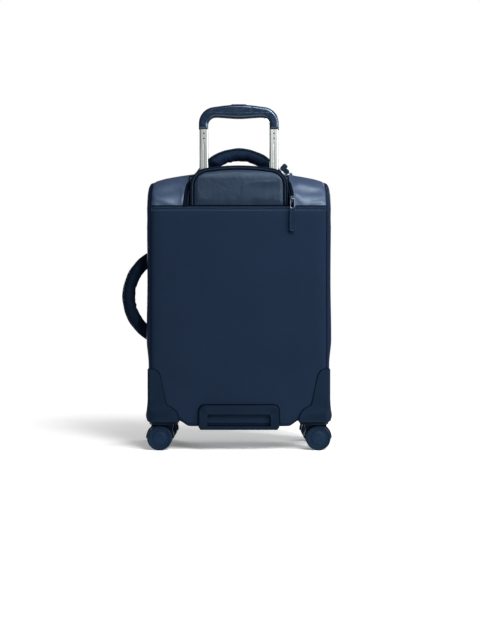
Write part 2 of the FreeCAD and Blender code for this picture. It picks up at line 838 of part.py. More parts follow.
def slider_block(long, wide):
    """A zip slider about the origin: a tapered block on z = 0 and an arch on top of it."""
    half = long / 2
    points = [(-half, -wide / 2 + 1.4), (half - 2, -wide / 2), (half, -wide / 2 + 2)]
    points += [(half, wide / 2 - 2), (half - 2, wide / 2), (-half, wide / 2 - 1.4)]
    block = prism("XY", points, 0.0, SLIDER_HIGH, {0: 1.0, 5: 1.0})
    low, top = SLIDER_HIGH - 0.5, SLIDER_HIGH + PIVOT_UP + 2.9
    arch_out = prism("XZ", rectangle(-2.9, 2.9, low, top), -0.8, 0.8, {2: 2.4, 3: 2.4})
    arch_in = prism("XZ", rectangle(-1.8, 1.8, SLIDER_HIGH, top - 1.1), -2.0, 2.0, {2: 1.5, 3: 1.5})
    return fuse(block, cut(arch_out, arch_in))


def pull_tab(long, wide, thick, link, aside=None):
    """A zip pull about its pivot at the origin, reaching along +X: a ring link and a rounded tab.

    The tab lies flat in the ring's plane, or, where aside is given, is turned on edge there.
    """
    ring = cut(
        prism("XY", rectangle(-1.2, link, -3.6, 3.6), -1.0, 1.0, {0: 0.6, 1: 2.0, 2: 2.0, 3: 0.6}),
        prism("XY", rectangle(1.0, link - 2.2, -2.0, 2.0), -2.0, 2.0),
    )
    shape = rectangle(link - 0.4, long, -wide / 2, wide / 2)
    rounds = {0: 1.5, 1: 3.5, 2: 3.5, 3: 1.5}
    plane, middle = ("XY", 0.0) if aside is None else ("XZ", aside)
    return fuse(ring, prism(plane, shape, middle - thick / 2, middle + thick / 2, rounds))


def hanging_pull(long, wide, thick):
    """A zip pull that hangs from the arch's bar: its ring stands across the tab."""
    link = 10.0
    ring = cut(
        prism("XY", rectangle(-2.3, link, -2.3, 2.3), -0.9, 0.9, all_corners(1.2)),
        prism("XY", rectangle(-1.3, link - 1.4, -1.3, 1.3), -2.0, 2.0),
    )
    shape = rectangle(link - 0.6, long, -wide / 2, wide / 2)
    return fuse(ring, prism("XZ", shape, -thick / 2, thick / 2, {0: 1.5, 1: 3.5, 2: 3.5, 3: 1.5}))


def place(item, base, *turns):
    """Sets a piece down: the turns are (axis, degrees), the first applied first."""
    rotation = Rotation()
    for axis, angle in turns:
        rotation = Rotation(Vector(*axis), angle) * rotation
    item.Placement = Placement(Vector(*base), rotation)
    return item


def on_crown(item, x, lift, lean=0.0):
    """Sets a piece down on the crowned top at x, over the zip, leaning up by lean degrees."""
    reach = DIMENSIONS["crown_round"]
    centre_z = DIMENSIONS["crown_z"] - reach
    angle = math.degrees(math.asin(x / reach))
    up = reach + lift
    at = (
        up * math.sin(math.radians(angle)),
        DIMENSIONS["zip_y"],
        centre_z + up * math.cos(math.radians(angle)),
    )
    return place(item, at, ((0, 1, 0), angle - lean))


def zip_hardware():
    pivot = SLIDER_HIGH + PIVOT_UP
    for name, (x, lean, long, aside) in MAIN_SLIDERS.items():
        node(f"main_slider_{name}", on_crown(slider_block(11.0, 9.0), x, CROWN_LIFT))
        pull = pull_tab(long, 11.0, 2.4, 9.0, aside)
        node(f"main_pull_{name}", on_crown(pull, x, CROWN_LIFT + pivot, lean))

    x, y, z = 102.5, DIMENSIONS["rear_y"] - 1.4, 484.0
    slider = place(slider_block(12.0, 9.0), (x, y, z), ((0, 0, 1), 90), ((1, 0, 0), 90))
    node("flap_slider", slider)
    pull = pull_tab(62.0, 12.0, 2.6, 17.0)
    node("flap_pull", place(pull, (x, y - pivot, z), ((1, 0, 0), 90), ((0, 1, 0), 90)))

    x, y, z = 100.0, DIMENSIONS["front_y"] + 14.3, POCKET_ZIP
    slider = place(slider_block(12.0, 9.0), (x, y, z), ((1, 0, 0), -90), ((0, 1, 0), 180))
    node("pocket_slider", slider)
    bar = pivot + 2.35
    node("pocket_pull", place(hanging_pull(40.0, 10.0, 2.4), (x, y + bar, z), ((0, 1, 0), 90)))


# ---------------------------------------------------------------- lid pocket and carry handles

def front_pocket():
    points = rectangle(-128.0, 128.0, 186.0, 424.0)
    face = S.front_y + 14
    pocket = prism("XZ", points, S.front_y + 0.1, face, {0: 26.0, 1: 26.0, 2: 22.0, 3: 22.0})
    soften(pocket, edge_lies_at("y", face.value), 7.0)
    node("front_pocket", pocket)


def carry_handle(fold):
    """A padded bow in the plane y = 0 about the origin, arching up, with flat ends down to z = fold."""
    bow = doc.addObject("Part::Torus", "Bow")
    bind(bow, "Radius1", S.handle_ring)
    bind(bow, "Radius2", S.handle_fat)
    bow.Angle3 = 180.0 - 2 * HANDLE_TRIM
    place(bow, (0, 0, 0), ((0, 0, 1), HANDLE_TRIM), ((1, 0, 0), 90))
    half = 1.5
    wide = S.handle_fat - 0.2
    disc = rod(S.handle_ring + wide, (0.0, -half, 0.0), 2 * half, (0, 1, 0))
    hole = rod(S.handle_ring - wide, (0.0, -half - 1, 0.0), 2 * half + 2, (0, 1, 0))
    ends = common(cut(disc, hole), box(-120.0, 120.0, -half, half, fold, fold + 20))
    return fuse(bow, ends)


def handle_anchor():
    """The sewn-on plate under one end of a handle, lying on z = 0."""
    return prism("XY", rectangle(-17.0, 17.0, -10.0, 10.0), 0.0, 1.4, all_corners(4.0))


def handles():
    y, z = DIMENSIONS["top_handle_y"], DIMENSIONS["top_handle_z"]
    top = carry_handle(51.5)
    node("top_handle", place(top, (0, y, z)))
    centre = [DIMENSIONS[f"side_handle_{axis}"] for axis in "xyz"]
    side = carry_handle(47.1)
    node("side_handle", place(side, centre, ((0, 1, 0), -90)))

    anchors = []
    reach = DIMENSIONS["crown_round"]
    left = -DIMENSIONS["half_width"] - 0.05
    for sign in (-1, 1):
        tilt = math.degrees(math.asin(TAB_OUT * sign / reach))
        seat = DIMENSIONS["crown_z"] - reach * (1 - math.cos(math.radians(tilt))) + 0.05
        anchors.append(place(handle_anchor(), (TAB_OUT * sign, y + 12.0, seat), ((0, 1, 0), tilt)))
        at = (left, centre[1], centre[2] + TAB_OUT * sign)
        anchors.append(place(handle_anchor(), at, ((0, 1, 0), -90)))
    node("handle_anchors", compound(*anchors))


# ---------------------------------------------------------------- assembly


def build():
    outer = body_shell()
    zip_tapes(outer)
    lining()
    frame_parts()
    packing_straps()
    corner_guards(outer)
    bottom_grip()
    caster_fixings()
    for name, (side, end) in CORNERS.items():
        caster(name, side, end)
    trolley()
    flap()
    front_pocket()
    zip_hardware()
    handles()


def check_and_write():
    doc.recompute()
    failed = [o.Name for o in doc.Objects if {"Invalid", "Error"} & set(o.State)]
    if failed:
        raise SystemExit(f"failed objects: {failed}")
    os.makedirs("parts", exist_ok=True)
    for old in os.listdir("parts"):
        os.remove(os.path.join("parts", old))
    for name, item in NODES.items():
        shape = item.Shape
        if shape.isNull() or not shape.isValid() or not shape.Solids:
            raise SystemExit(f"{name} has no valid solid")
        shape.exportStep(f"parts/{name}.step")
    print(f"{len(NODES)} nodes written")


build()
check_and_write()
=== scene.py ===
"""Looks of the softside upright suitcase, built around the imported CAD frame.

Shapes are worked out in millimetres in the CAD's frame and written to meshes in metres: +Z is up,
the back of the case faces -Y and the side handle is on -X. In names of functions p is a grid of points
and n is their normals; s is a height up the back, carried on over the top.
"""

import json
import math

import bmesh
import bpy
import numpy as np
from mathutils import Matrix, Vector


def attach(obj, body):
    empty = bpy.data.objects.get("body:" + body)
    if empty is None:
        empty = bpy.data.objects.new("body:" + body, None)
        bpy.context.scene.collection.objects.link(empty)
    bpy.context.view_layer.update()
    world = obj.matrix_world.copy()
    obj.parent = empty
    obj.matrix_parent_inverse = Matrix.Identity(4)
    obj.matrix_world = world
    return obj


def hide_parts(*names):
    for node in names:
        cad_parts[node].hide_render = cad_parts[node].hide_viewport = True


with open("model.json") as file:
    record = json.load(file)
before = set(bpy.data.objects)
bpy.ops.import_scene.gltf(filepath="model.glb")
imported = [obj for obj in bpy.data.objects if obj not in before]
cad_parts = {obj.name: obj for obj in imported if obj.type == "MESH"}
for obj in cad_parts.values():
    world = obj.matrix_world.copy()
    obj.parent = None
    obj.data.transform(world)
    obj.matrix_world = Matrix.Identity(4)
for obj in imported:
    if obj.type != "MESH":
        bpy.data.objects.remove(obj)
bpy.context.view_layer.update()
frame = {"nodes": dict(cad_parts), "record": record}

# ---- the case's form

HALF, REAR, FRONT = 175.0, -110.0, 100.0
CROWN_Z, CROWN_R = 545.0, 750.0
ARC_Y, ARC_Z, ARC_R = -40.0, 475.0, 70.0
ARC_END = ARC_Z + ARC_R * math.pi / 2
SEAM_X, SEAM_Z = 169.0, 471.4
ZIP_Y, ZIP_HALF = -10.0, 7.0
HINGE_Z = 165.0
BACKWARD, FORWARD = (0.0, -1.0, 0.0), (0.0, 1.0, 0.0)
INNER_LOW = np.array([-140.0, -40.0, 110.0])
INNER_HIGH = np.array([140.0, 65.0, 475.0])


def smooth(x):
    x = np.clip(x, 0.0, 1.0)
    return x * x * (3.0 - 2.0 * x)


def bell(x, middle, width):
    return np.exp(-(((x - middle) / width) ** 2))


def unit(v):
    return v / np.maximum(np.linalg.norm(v, axis=-1, keepdims=True), 1e-9)


def round_max(a, b, r):
    """Intersection of two half spaces with a rounded edge between them."""
    return np.minimum(-r, np.maximum(a, b)) + np.hypot(np.maximum(a + r, 0), np.maximum(b + r, 0))


def crown(x):
    x = np.abs(x)
    flat = CROWN_R * 0.19612
    arc = CROWN_Z - CROWN_R + np.sqrt(CROWN_R**2 - np.minimum(x, flat) ** 2)
    return arc - 0.2 * np.maximum(x - flat, 0.0)


def underside(x):
    return 47.0 + 11.0 * smooth((np.abs(x) - 95.0) / 22.0)


def form(p):
    """Below zero inside the case, and rising outwards by about the distance from its surface."""
    x, y, z = p[..., 0], p[..., 1], p[..., 2]
    top = (z - crown(x)) * 0.985
    hull = np.maximum(round_max(REAR - y, top, 70.0), round_max(y - FRONT, top, 35.0))
    side_round = 15.0 + 12.0 * smooth((y - 15.0) / 70.0)
    hull = round_max(hull, np.abs(x) - HALF, side_round)
    return round_max(hull, underside(x) - z, 6.0)


def cast(origin, direction, outset=0.0):
    """Where rays from inside the case leave its surface."""
    origin, direction = np.broadcast_arrays(origin, direction)
    d = unit(direction)
    near = np.zeros(d.shape[:-1])
    far = np.full(d.shape[:-1], 300.0)
    for _ in range(24):
        mid = (near + far) / 2
        inside = form(origin + d * mid[..., None]) < outset
        near, far = np.where(inside, mid, near), np.where(inside, far, mid)
    return origin + d * near[..., None]


def outward(p):
    """Unit normals of the form at points."""
    step = 0.4
    g = np.stack([form(p + e) - form(p - e) for e in np.eye(3) * step], -1)
    return unit(g)


def on_back(x, s, off=0.0):
    """The point at x, s mm up the back: s is z up to the arc, then runs over it and along the top."""
    x, s = np.broadcast_arrays(np.asarray(x, float), np.asarray(s, float))
    turn = np.clip((s - ARC_Z) / ARC_R, 0.0, math.pi / 2)
    origin = np.stack([x, ARC_Y + np.maximum(s - ARC_END, 0.0), np.minimum(s, ARC_Z)], -1)
    direction = np.stack([np.zeros_like(x), -np.cos(turn), np.sin(turn)], -1)
    p = cast(origin, direction)
    n = outward(p)
    return p + n * np.asarray(off)[..., None], n


def project(target, low=INNER_LOW, high=INNER_HIGH):
    """Points near the case moved onto its surface, away from the nearest point of a box inside it."""
    origin = np.clip(target, low, high)
    p = cast(origin, target - origin)
    return p, outward(p)


def ruled(a, b, rows):
    """A patch of the form between two curves of equal length."""
    v = np.linspace(0.0, 1.0, rows)[None, :, None]
    return project(a[:, None, :] * (1 - v) + b[:, None, :] * v)


def same(direction, p):
    """One direction repeated for every point of p."""
    return np.broadcast_to(np.array(direction, float), p.shape)


def side_name(sign):
    return "right" if sign > 0 else "left"


# ---- noise, meshes and paths

LATTICE = np.random.default_rng(11).random((32, 32, 32)) * 2 - 1


def noise(p, scale, seed=0.0):
    """Smooth value noise between -1 and 1, with features about scale mm across."""
    q = p / scale + seed
    i = np.floor(q).astype(int)
    f = q - i
    f = f * f * (3 - 2 * f)
    total = 0.0
    for dx in (0, 1):
        for dy in (0, 1):
            for dz in (0, 1):
                w = (
                    (f[..., 0] if dx else 1 - f[..., 0])
                    * (f[..., 1] if dy else 1 - f[..., 1])
                    * (f[..., 2] if dz else 1 - f[..., 2])
                )
                j = (i + (dx, dy, dz)) % 32
                total = total + w * LATTICE[j[..., 0], j[..., 1], j[..., 2]]
    return total


def ridges(p, scale, seed=0.0):
    """Noise with sharp crests, 0 to 1, as in creased cloth."""
    return 1.0 - np.abs(noise(p, scale, seed)) * 2.0


def grid_faces(nu, nv, wrap_u=False, wrap_v=False):
    i, j = np.meshgrid(
        np.arange(nu if wrap_u else nu - 1), np.arange(nv if wrap_v else nv - 1), indexing="ij"
    )
    i, j = i.ravel(), j.ravel()
    i2, j2 = (i + 1) % nu, (j + 1) % nv
    return np.stack([i * nv + j, i2 * nv + j, i2 * nv + j2, i * nv + j2], 1)


def make(name, points, faces, material, uv=None):
    """A mesh object from points in mm."""
    data = bpy.data.meshes.new(name)
    data.from_pydata((np.asarray(points).reshape(-1, 3) / 1000).tolist(), [], [list(f) for f in faces])
    data.validate()
    if uv is not None:
        layer = data.uv_layers.new(name="UVMap")
        index = np.zeros(len(data.loops), int)
        data.loops.foreach_get("vertex_index", index)
        layer.data.foreach_set("uv", (uv.reshape(-1, 2)[index] / 1000).ravel())
    data.polygons.foreach_set("use_smooth", [True] * len(data.polygons))
    data.materials.append(material)
    obj = bpy.data.objects.new(name, data)
    bpy.context.scene.collection.objects.link(obj)
    return obj


def lengths(p):
    """Texture coordinates in mm measured along the rows and columns of a grid of points."""
    du = np.linalg.norm(np.diff(p, axis=0), axis=-1)
    dv = np.linalg.norm(np.diff(p, axis=1), axis=-1)
    u = np.concatenate([np.zeros((1, p.shape[1])), np.cumsum(du, 0)])
    v = np.concatenate([np.zeros((p.shape[0], 1)), np.cumsum(dv, 1)], 1)
    return np.stack([u - u[-1] / 2, v], -1)


def sheet(name, p, n, material, body, nodes=(), thick=1.6, keep=None):
    """A cloth sheet from a grid of outer points and normals, given a thickness inwards."""
    nu, nv = p.shape[:2]
    faces = grid_faces(nu, nv)
    if keep is not None:
        inside = keep.ravel()
        faces = faces[inside[faces].all(1)]
    mid_u, mid_v = nu // 2, nv // 2
    cross = np.cross(p[mid_u + 1, mid_v] - p[mid_u, mid_v], p[mid_u, mid_v + 1] - p[mid_u, mid_v])
    if cross @ n[mid_u, mid_v] < 0:
        faces = faces[:, ::-1]
    obj = make(name, p, faces, material, uv=lengths(p))
    edit_mesh(obj, drop_loose)
    if thick:
        solid = obj.modifiers.new("thickness", "SOLIDIFY")
        solid.thickness = thick / 1000
        solid.offset = -1.0
        solid.use_even_offset = False
    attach(obj, body)
    for node in nodes:
        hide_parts(node)
    return obj


def edit_mesh(obj, change):
    work = bmesh.new()
    work.from_mesh(obj.data)
    change(work)
    work.to_mesh(obj.data)
    work.free()


def drop_loose(work):
    bmesh.ops.delete(work, geom=[v for v in work.verts if not v.link_faces], context="VERTS")


def face_out(work):
    bmesh.ops.recalc_face_normals(work, faces=work.faces)


def tube_faces(rings, sides):
    """The faces of a closed tube of rings, with both ends capped."""
    faces = [list(f) for f in grid_faces(rings, sides, wrap_v=True)]
    last = (rings - 1) * sides
    return faces + [list(range(sides)), [last + k for k in range(sides)][::-1]]


def tangents(path, closed=False):
    if closed:
        t = np.roll(path, -1, 0) - np.roll(path, 1, 0)
    else:
        t = np.gradient(path, axis=0)
    return unit(t)


def cord(name, path, normals, radius, material, body, flat=1.0, sides=8, closed=False):
    """A round or flattened cord along a path; flat scales it along the normals."""
    path, normals = np.asarray(path, float), np.asarray(normals, float)
    t = tangents(path, closed)
    side = unit(np.cross(t, normals))
    up = np.cross(side, t)
    a = np.linspace(0, 2 * math.pi, sides, endpoint=False)
    r = np.broadcast_to(np.asarray(radius, float), (len(path),))[:, None, None]
    ring = path[:, None] + r * (
        np.cos(a)[None, :, None] * side[:, None] + flat * np.sin(a)[None, :, None] * up[:, None]
    )
    faces = [list(f) for f in grid_faces(len(path), sides, wrap_u=closed, wrap_v=True)]
    if not closed:
        faces += [list(range(sides))[::-1], [(len(path) - 1) * sides + k for k in range(sides)]]
    obj = make(name, ring, faces, material)
    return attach(obj, body)


def travelled(path):
    """The length of a path up to each of its points."""
    return np.concatenate([[0.0], np.cumsum(np.linalg.norm(np.diff(path, axis=0), axis=-1))])


def points_at(at, d, values):
    """A path's values where its travelled length d is at."""
    return np.stack([np.interp(at, d, column) for column in values.T], -1)


def resample(path, step, *others):
    """Evenly spaced points along a path, with other per-point arrays carried along."""
    d = travelled(path)
    n = max(2, int(round(d[-1] / step)) + 1)
    at = np.linspace(0, d[-1], n)
    return [points_at(at, d, values) for values in (path, *others)]


STITCHES = {}  # body: the points and faces of all its stitches
STITCH_SHADE_LINES = []  # path, normals and body of the painted shade line laid under each row of stitches
STITCH_SIDES = 5
# Rings along one stitch: place along it, thickness and rise, as shares of pitch, radius and mm.
STITCH_RINGS = [(-0.36, 0.0, -0.25), (-0.26, 0.9, 0.05), (0.0, 1.0, 0.25), (0.26, 0.9, 0.05),
                (0.36, 0.0, -0.25)]


def stitch(path, normals, body, pitch=3.4, radius=0.46):
    """Adds a row of stitches along a path to the body's one stitching mesh, and records a painted shade
    line to lie under it.
    """
    lift = 0.15
    path, normals = resample(np.asarray(path, float), pitch, np.asarray(normals, float))
    STITCH_SHADE_LINES.append((path, normals, body))
    t = tangents(path)
    n = unit(normals)
    side = np.cross(t, n)
    points, faces = STITCHES.setdefault(body, ([], []))
    for p, tt, nn, ss in zip(path, t, n, side):
        base = len(points)
        for along, fat, rise in STITCH_RINGS:
            c = p + tt * along * pitch + nn * (lift + rise)
            if fat:
                for k in range(STITCH_SIDES):
                    a = 2 * math.pi * k / STITCH_SIDES
                    points.append(c + radius * fat * (math.cos(a) * ss + math.sin(a) * nn))
            else:
                points.append(c)
        for k in range(STITCH_SIDES):
            m = (k + 1) % STITCH_SIDES
            faces.append((base, base + 1 + k, base + 1 + m))
            for ring in (0, 1):
                o = base + 1 + STITCH_SIDES * ring
                faces.append((o + k, o + STITCH_SIDES + k, o + STITCH_SIDES + m, o + m))
            tail = base + 1 + 2 * STITCH_SIDES
            faces.append((tail + k, tail + STITCH_SIDES, tail + m))


# ---- materials


def linear(r, g, b):
    return [((c / 255 + 0.055) / 1.055) ** 2.4 if c > 10 else c / 255 / 12.92 for c in (r, g, b)]


class Nodes:
    """A small shorthand for building a node material."""

    def __init__(self, name):
        self.mat = bpy.data.materials.new(name)
        self.mat.use_nodes = True
        self.tree = self.mat.node_tree
        self.bsdf = self.tree.nodes["Principled BSDF"]
        self.coords = self.tree.nodes.new("ShaderNodeTexCoord")

    def add(self, kind, settings=None, **inputs):
        node = self.tree.nodes.new(kind)
        for key, value in (settings or {}).items():
            setattr(node, key, value)
        for key, value in inputs.items():
            self.put(node.inputs[key.replace("_", " ")], value)
        return node

    def put(self, socket, value):
        if hasattr(value, "links"):
            self.tree.links.new(value, socket)
        elif isinstance(value, (list, tuple)) and len(value) == 3 and socket.type == "RGBA":
            socket.default_value = (*value, 1.0)
        else:
            socket.default_value = value

    def math(self, op, a, b=0.0):
        node = self.tree.nodes.new("ShaderNodeMath")
        node.operation = op
        self.put(node.inputs[0], a)
        self.put(node.inputs[1], b)
        return node.outputs[0]

    def noise(self, scale, detail=2.0, rough=0.5, vector=None, distortion=0.0):
        """Noise with features about 1/scale metres across."""
        node = self.add("ShaderNodeTexNoise", Scale=scale, Detail=detail, Roughness=rough,
                        Distortion=distortion, Vector=vector or self.coords.outputs["Object"])
        return node.outputs["Fac"]

    def ramp(self, value, low, high, low_at=0.0, high_at=1.0):
        node = self.add("ShaderNodeMapRange", Value=value)
        for key, v in (("From Min", low_at), ("From Max", high_at), ("To Min", low), ("To Max", high)):
            node.inputs[key].default_value = v
        return node.outputs["Result"]

    def mix(self, factor, a, b):
        node = self.tree.nodes.new("ShaderNodeMix")
        node.data_type = "RGBA"
        self.put(node.inputs[0], factor)
        self.put(node.inputs[6], a)
        self.put(node.inputs[7], b)
        return node.outputs[2]

    def bump(self, height, distance, normal=None):
        node = self.add("ShaderNodeBump", Height=height, Distance=distance, Strength=1.0)
        if normal is not None:
            self.put(node.inputs["Normal"], normal)
        return node.outputs["Normal"]

    def finish(self, **inputs):
        for key, value in inputs.items():
            self.put(self.bsdf.inputs[key.replace("_", " ")], value)
        return self.mat


def weave(m, pitch, vector):
    """Height of a plain weave with threads pitch mm apart."""
    scale = 1000.0 / pitch
    split = m.add("ShaderNodeSeparateXYZ", Vector=vector)
    u = m.math("MULTIPLY", split.outputs[0], scale * math.pi)
    v = m.math("MULTIPLY", split.outputs[1], scale * math.pi)
    su, sv = m.math("SINE", u), m.math("SINE", v)
    return m.math("MULTIPLY", su, sv)


SHINE = [0.55, 0.76, 1.0]


def cloth_material(name, colour, rough, pitch, depth, spread=0.05, creases=0.0, crease_scale=45.0,
                   specular=0.2, sheen=SHINE):
    """Woven cloth: threads, slubs, slow changes of colour, and optional fine creasing."""
    m = Nodes(name)
    uv = m.coords.outputs["UV"]
    threads = weave(m, pitch, uv)
    slubs = m.noise(900.0, 2.0, 0.6)
    slow = m.noise(9.0, 3.0, 0.55)
    dark = [c * (1 - spread) for c in colour]
    light = [c * (1 + spread) for c in colour]
    tone = m.mix(m.ramp(slow, 0.0, 1.0, 0.35, 0.65), dark, light)
    tone = m.mix(m.ramp(threads, 0.0, 0.35, -1.0, 1.0), tone, [c * 0.55 for c in colour])
    height = m.math("ADD", threads, m.math("MULTIPLY", slubs, 0.8))
    normal = m.bump(height, depth)
    if creases:
        folds = m.noise(crease_scale, 3.0, 0.45, distortion=1.1)
        folds = m.math("ABSOLUTE", m.math("SUBTRACT", folds, 0.5))
        normal = m.bump(m.ramp(folds, 1.0, 0.0, 0.0, 0.16), creases, normal=normal)
    roughness = m.ramp(m.noise(60.0, 3.0, 0.6), rough - 0.05, rough + 0.06, 0.3, 0.7)
    return m.finish(Base_Color=tone, Roughness=roughness, Normal=normal, Specular_IOR_Level=specular,
                    Specular_Tint=sheen)


def moulded_material(name, colour, rough, grain=0.00006, bevel=0.0009, specular=0.5, highlight_amount=0.3):
    """Moulded plastic: fine spark-eroded grain, a painted highlight that lightens the sharp convex
    edges, softened corners.
    """
    m = Nodes(name)
    soft = m.add("ShaderNodeBevel", {"samples": 6}, Radius=bevel).outputs["Normal"]
    grit = m.noise(1500.0, 2.0, 0.6)
    slow = m.noise(22.0, 3.0, 0.5)
    point = m.add("ShaderNodeNewGeometry").outputs["Pointiness"]
    # Lighter colour on sharp convex edges, picked by pointiness: painted highlight for the light rims of
    # the mouldings.
    rim_highlight = m.ramp(point, 0.0, highlight_amount, 0.515, 0.60)
    dark, light = [c * 0.93 for c in colour], [c * 1.07 for c in colour]
    tone = m.mix(m.ramp(slow, 0.0, 1.0, 0.35, 0.65), dark, light)
    tone = m.mix(rim_highlight, tone, [min(1.0, c * 2.2 + 0.004) for c in colour])
    roughness = m.ramp(m.noise(130.0, 3.0, 0.6), rough - 0.05, rough + 0.07, 0.3, 0.7)
    return m.finish(Base_Color=tone, Roughness=roughness, Normal=m.bump(grit, grain, normal=soft),
                    Specular_IOR_Level=specular, Specular_Tint=SHINE)


def metal_material(name, colour, rough, stretch=(1.0, 1.0, 1.0)):
    """Drawn or brushed metal: the scratches run along the axis with the smallest stretch."""
    m = Nodes(name)
    scaled = m.add("ShaderNodeMapping", Vector=m.coords.outputs["Object"])
    scaled.inputs["Scale"].default_value = stretch
    lines = m.noise(900.0, 3.0, 0.6, vector=scaled.outputs[0])
    soft = m.add("ShaderNodeBevel", {"samples": 6}, Radius=0.0004).outputs["Normal"]
    tone = m.mix(m.ramp(lines, 0.0, 1.0, 0.3, 0.7), [c * 0.93 for c in colour], colour)
    roughness = m.ramp(lines, rough - 0.05, rough + 0.08, 0.3, 0.7)
    return m.finish(Base_Color=tone, Metallic=1.0, Roughness=roughness,
                    Normal=m.bump(lines, 0.00003, normal=soft))


CANVAS = cloth_material("canvas", linear(21, 33, 51), 0.56, 0.75, 0.00008, specular=0.05)
GUSSET = cloth_material("gusset", linear(19, 31, 51), 0.55, 0.75, 0.00008, specular=0.05)
SATIN = cloth_material("satin_nylon", linear(45, 60, 86), 0.47, 0.35, 0.00003,
                       creases=0.00020, crease_scale=12.0, specular=0.75, sheen=[0.72, 0.86, 1.0])
# A darker copy of the satin for the flap: painted shade, as its upright face takes less light than the
# top panel.
FLAP_SHADED_SATIN = cloth_material("flap_nylon_painted_shade", linear(15, 27, 45), 0.40, 0.35, 0.00003,
                      creases=0.00025, crease_scale=15.0, specular=0.44)
TAPE = cloth_material("zip_tape", linear(7, 16, 29), 0.6, 0.9, 0.00014, specular=0.03)
BINDING = cloth_material("binding", linear(10, 20, 36), 0.48, 0.5, 0.00010, specular=0.05)
PADDED = cloth_material("padded_nylon", linear(15, 28, 48), 0.46, 0.5, 0.00008, 0.06,
                        creases=0.0002, crease_scale=110.0, specular=0.10)
# A darker copy of the padded nylon for the side handle: painted shade, as the case's left side takes
# less light.
PADDED_SHADED = cloth_material("padded_nylon_painted_shade", linear(9, 19, 34), 0.46, 0.5, 0.00008, 0.06,
                             creases=0.0002, crease_scale=110.0, specular=0.06)
WEBBING = cloth_material("webbing", linear(15, 25, 42), 0.6, 1.4, 0.00030, 0.06, specular=0.08)
LINING = cloth_material("lining", linear(56, 68, 90), 0.5, 0.3, 0.00004,
                        creases=0.0008, crease_scale=22.0, specular=0.2)
THREAD = cloth_material("thread", linear(66, 82, 108), 0.5, 0.3, 0.00005, specular=0.15)
WELL = cloth_material("well_lining", linear(4, 9, 17), 0.6, 0.3, 0.00004, creases=0.0006,
                      crease_scale=22.0, specular=0.04)
GUARD = moulded_material("moulded_navy", linear(8, 20, 34), 0.42, 0.00005, specular=0.09)
GRIP = moulded_material("grip_navy", linear(15, 27, 45), 0.22, 0.000004, specular=0.85, highlight_amount=0.0)
WHEEL = moulded_material("wheel_navy", linear(17, 32, 50), 0.42, 0.00004, specular=0.12)
TYRE = moulded_material("tyre_navy", linear(14, 27, 43), 0.55, 0.00007, specular=0.08)
BOARD = moulded_material("board", linear(34, 38, 44), 0.6, 0.00008)
PULL = moulded_material("pull_navy", linear(14, 27, 45), 0.42, 0.00004, bevel=0.0006, specular=0.15)
COIL = moulded_material("zip_coil", linear(5, 12, 23), 0.4, 0.00002, bevel=0.0001, specular=0.12)
BAND = cloth_material("band", linear(5, 14, 27), 0.5, 0.5, 0.00008, specular=0.05)
# Near-black material for painted shade: dark lines laid along seams, gaps and stitch rows, and on the
# tube sockets, where shade falls.
PAINTED_SHADE = moulded_material("gap_shade", linear(2, 6, 13), 0.8, 0.00002, bevel=0.0001, specular=0.0, highlight_amount=0.0)
ALUMINIUM = metal_material("aluminium", [0.42, 0.445, 0.435], 0.40, (1.0, 1.0, 0.02))
STEEL = metal_material("steel", [0.30, 0.31, 0.32], 0.40)
HARDWARE = metal_material("slider_metal", [0.10, 0.14, 0.20], 0.30)
LINK = metal_material("link_metal", [0.15, 0.20, 0.27], 0.30)
CAD_MATERIALS = {
    "canvas": CANVAS, "satin_nylon": SATIN, "zip_tape": TAPE, "handle_fabric": PADDED,
    "webbing": WEBBING, "lining": LINING, "moulded_navy": GUARD, "grip_navy": GRIP,
    "wheel_navy": WHEEL, "tyre": TYRE, "board": BOARD, "aluminium": ALUMINIUM, "steel": STEEL,
    "slider_metal": HARDWARE, "pull_navy": PULL,
}
# The tube sockets take the near-black painted shade material for the shade inside them.
NODE_MATERIALS = {"trolley_well": WELL, "tube_socket": PAINTED_SHADE}
for part in frame["record"]["subparts"]:
    node = frame["nodes"][part["node"]]
    node.data.materials.clear()
    node.data.materials.append(NODE_MATERIALS.get(part["node"], CAD_MATERIALS[part["material_slot"]]))

# ---- body skins

HEM_Z = 455.0  # below it the back panel's rows are even, above it they are close for the hem


def back_panel():
    x = np.linspace(-SEAM_X, SEAM_X, 150)
    low = underside(x) + 5.0
    v = np.concatenate([np.linspace(0.0, 1.0, 130), np.full(50, 1.0)])
    hem = np.concatenate([np.zeros(130), np.linspace(0.0, 1.0, 51)[1:]])
    s = low[:, None] + (HEM_Z - low[:, None]) * v[None, :] + (SEAM_Z - HEM_Z) * hem[None, :]
    p, n = on_back(x[:, None], s)
    edge = smooth((SEAM_X - np.abs(x)) / 22.0)[:, None] * smooth((SEAM_Z - s) / 18.0)
    quiet = smooth((s - 150.0) / 60.0)
    swell = 1.5 * edge * quiet + 0.45 * noise(p * (1.0, 1.0, 0.45), 60.0) * edge * quiet
    inside = smooth((SEAM_X - np.abs(x)) / 4)[:, None]
    relief = 0.9 * bell(s, 469.6, 1.1) - 0.8 * bell(s, 465.2, 0.9)
    relief = relief + 0.35 * bell(s, 467.2, 1.0) - 0.4 * bell(s, 463.2, 1.0)
    p = p + n * (swell + 0.3 + relief * inside)[..., None]
    sheet("back_panel_cloth", p, n, CANVAS, "case", ["rear_panel"])
    xs = np.linspace(-SEAM_X + 2, SEAM_X - 2, 90)
    for height, lift in ((467.2, 0.7), (463.2, 0.2)):
        path, up = on_back(xs, np.full_like(xs, height), lift)
        stitch(path, up, "case", pitch=3.9, radius=0.6)
    # A dark cord along the seam: painted shade where the top cloth tucks under the back panel.
    path, up = on_back(xs, np.full_like(xs, SEAM_Z + 0.4), 0.5)
    cord("back_seam_painted_shade", path, up, 0.9, PAINTED_SHADE, "case")


MOUTH_HALF, MOUTH_TOP = 94.8, 552.5


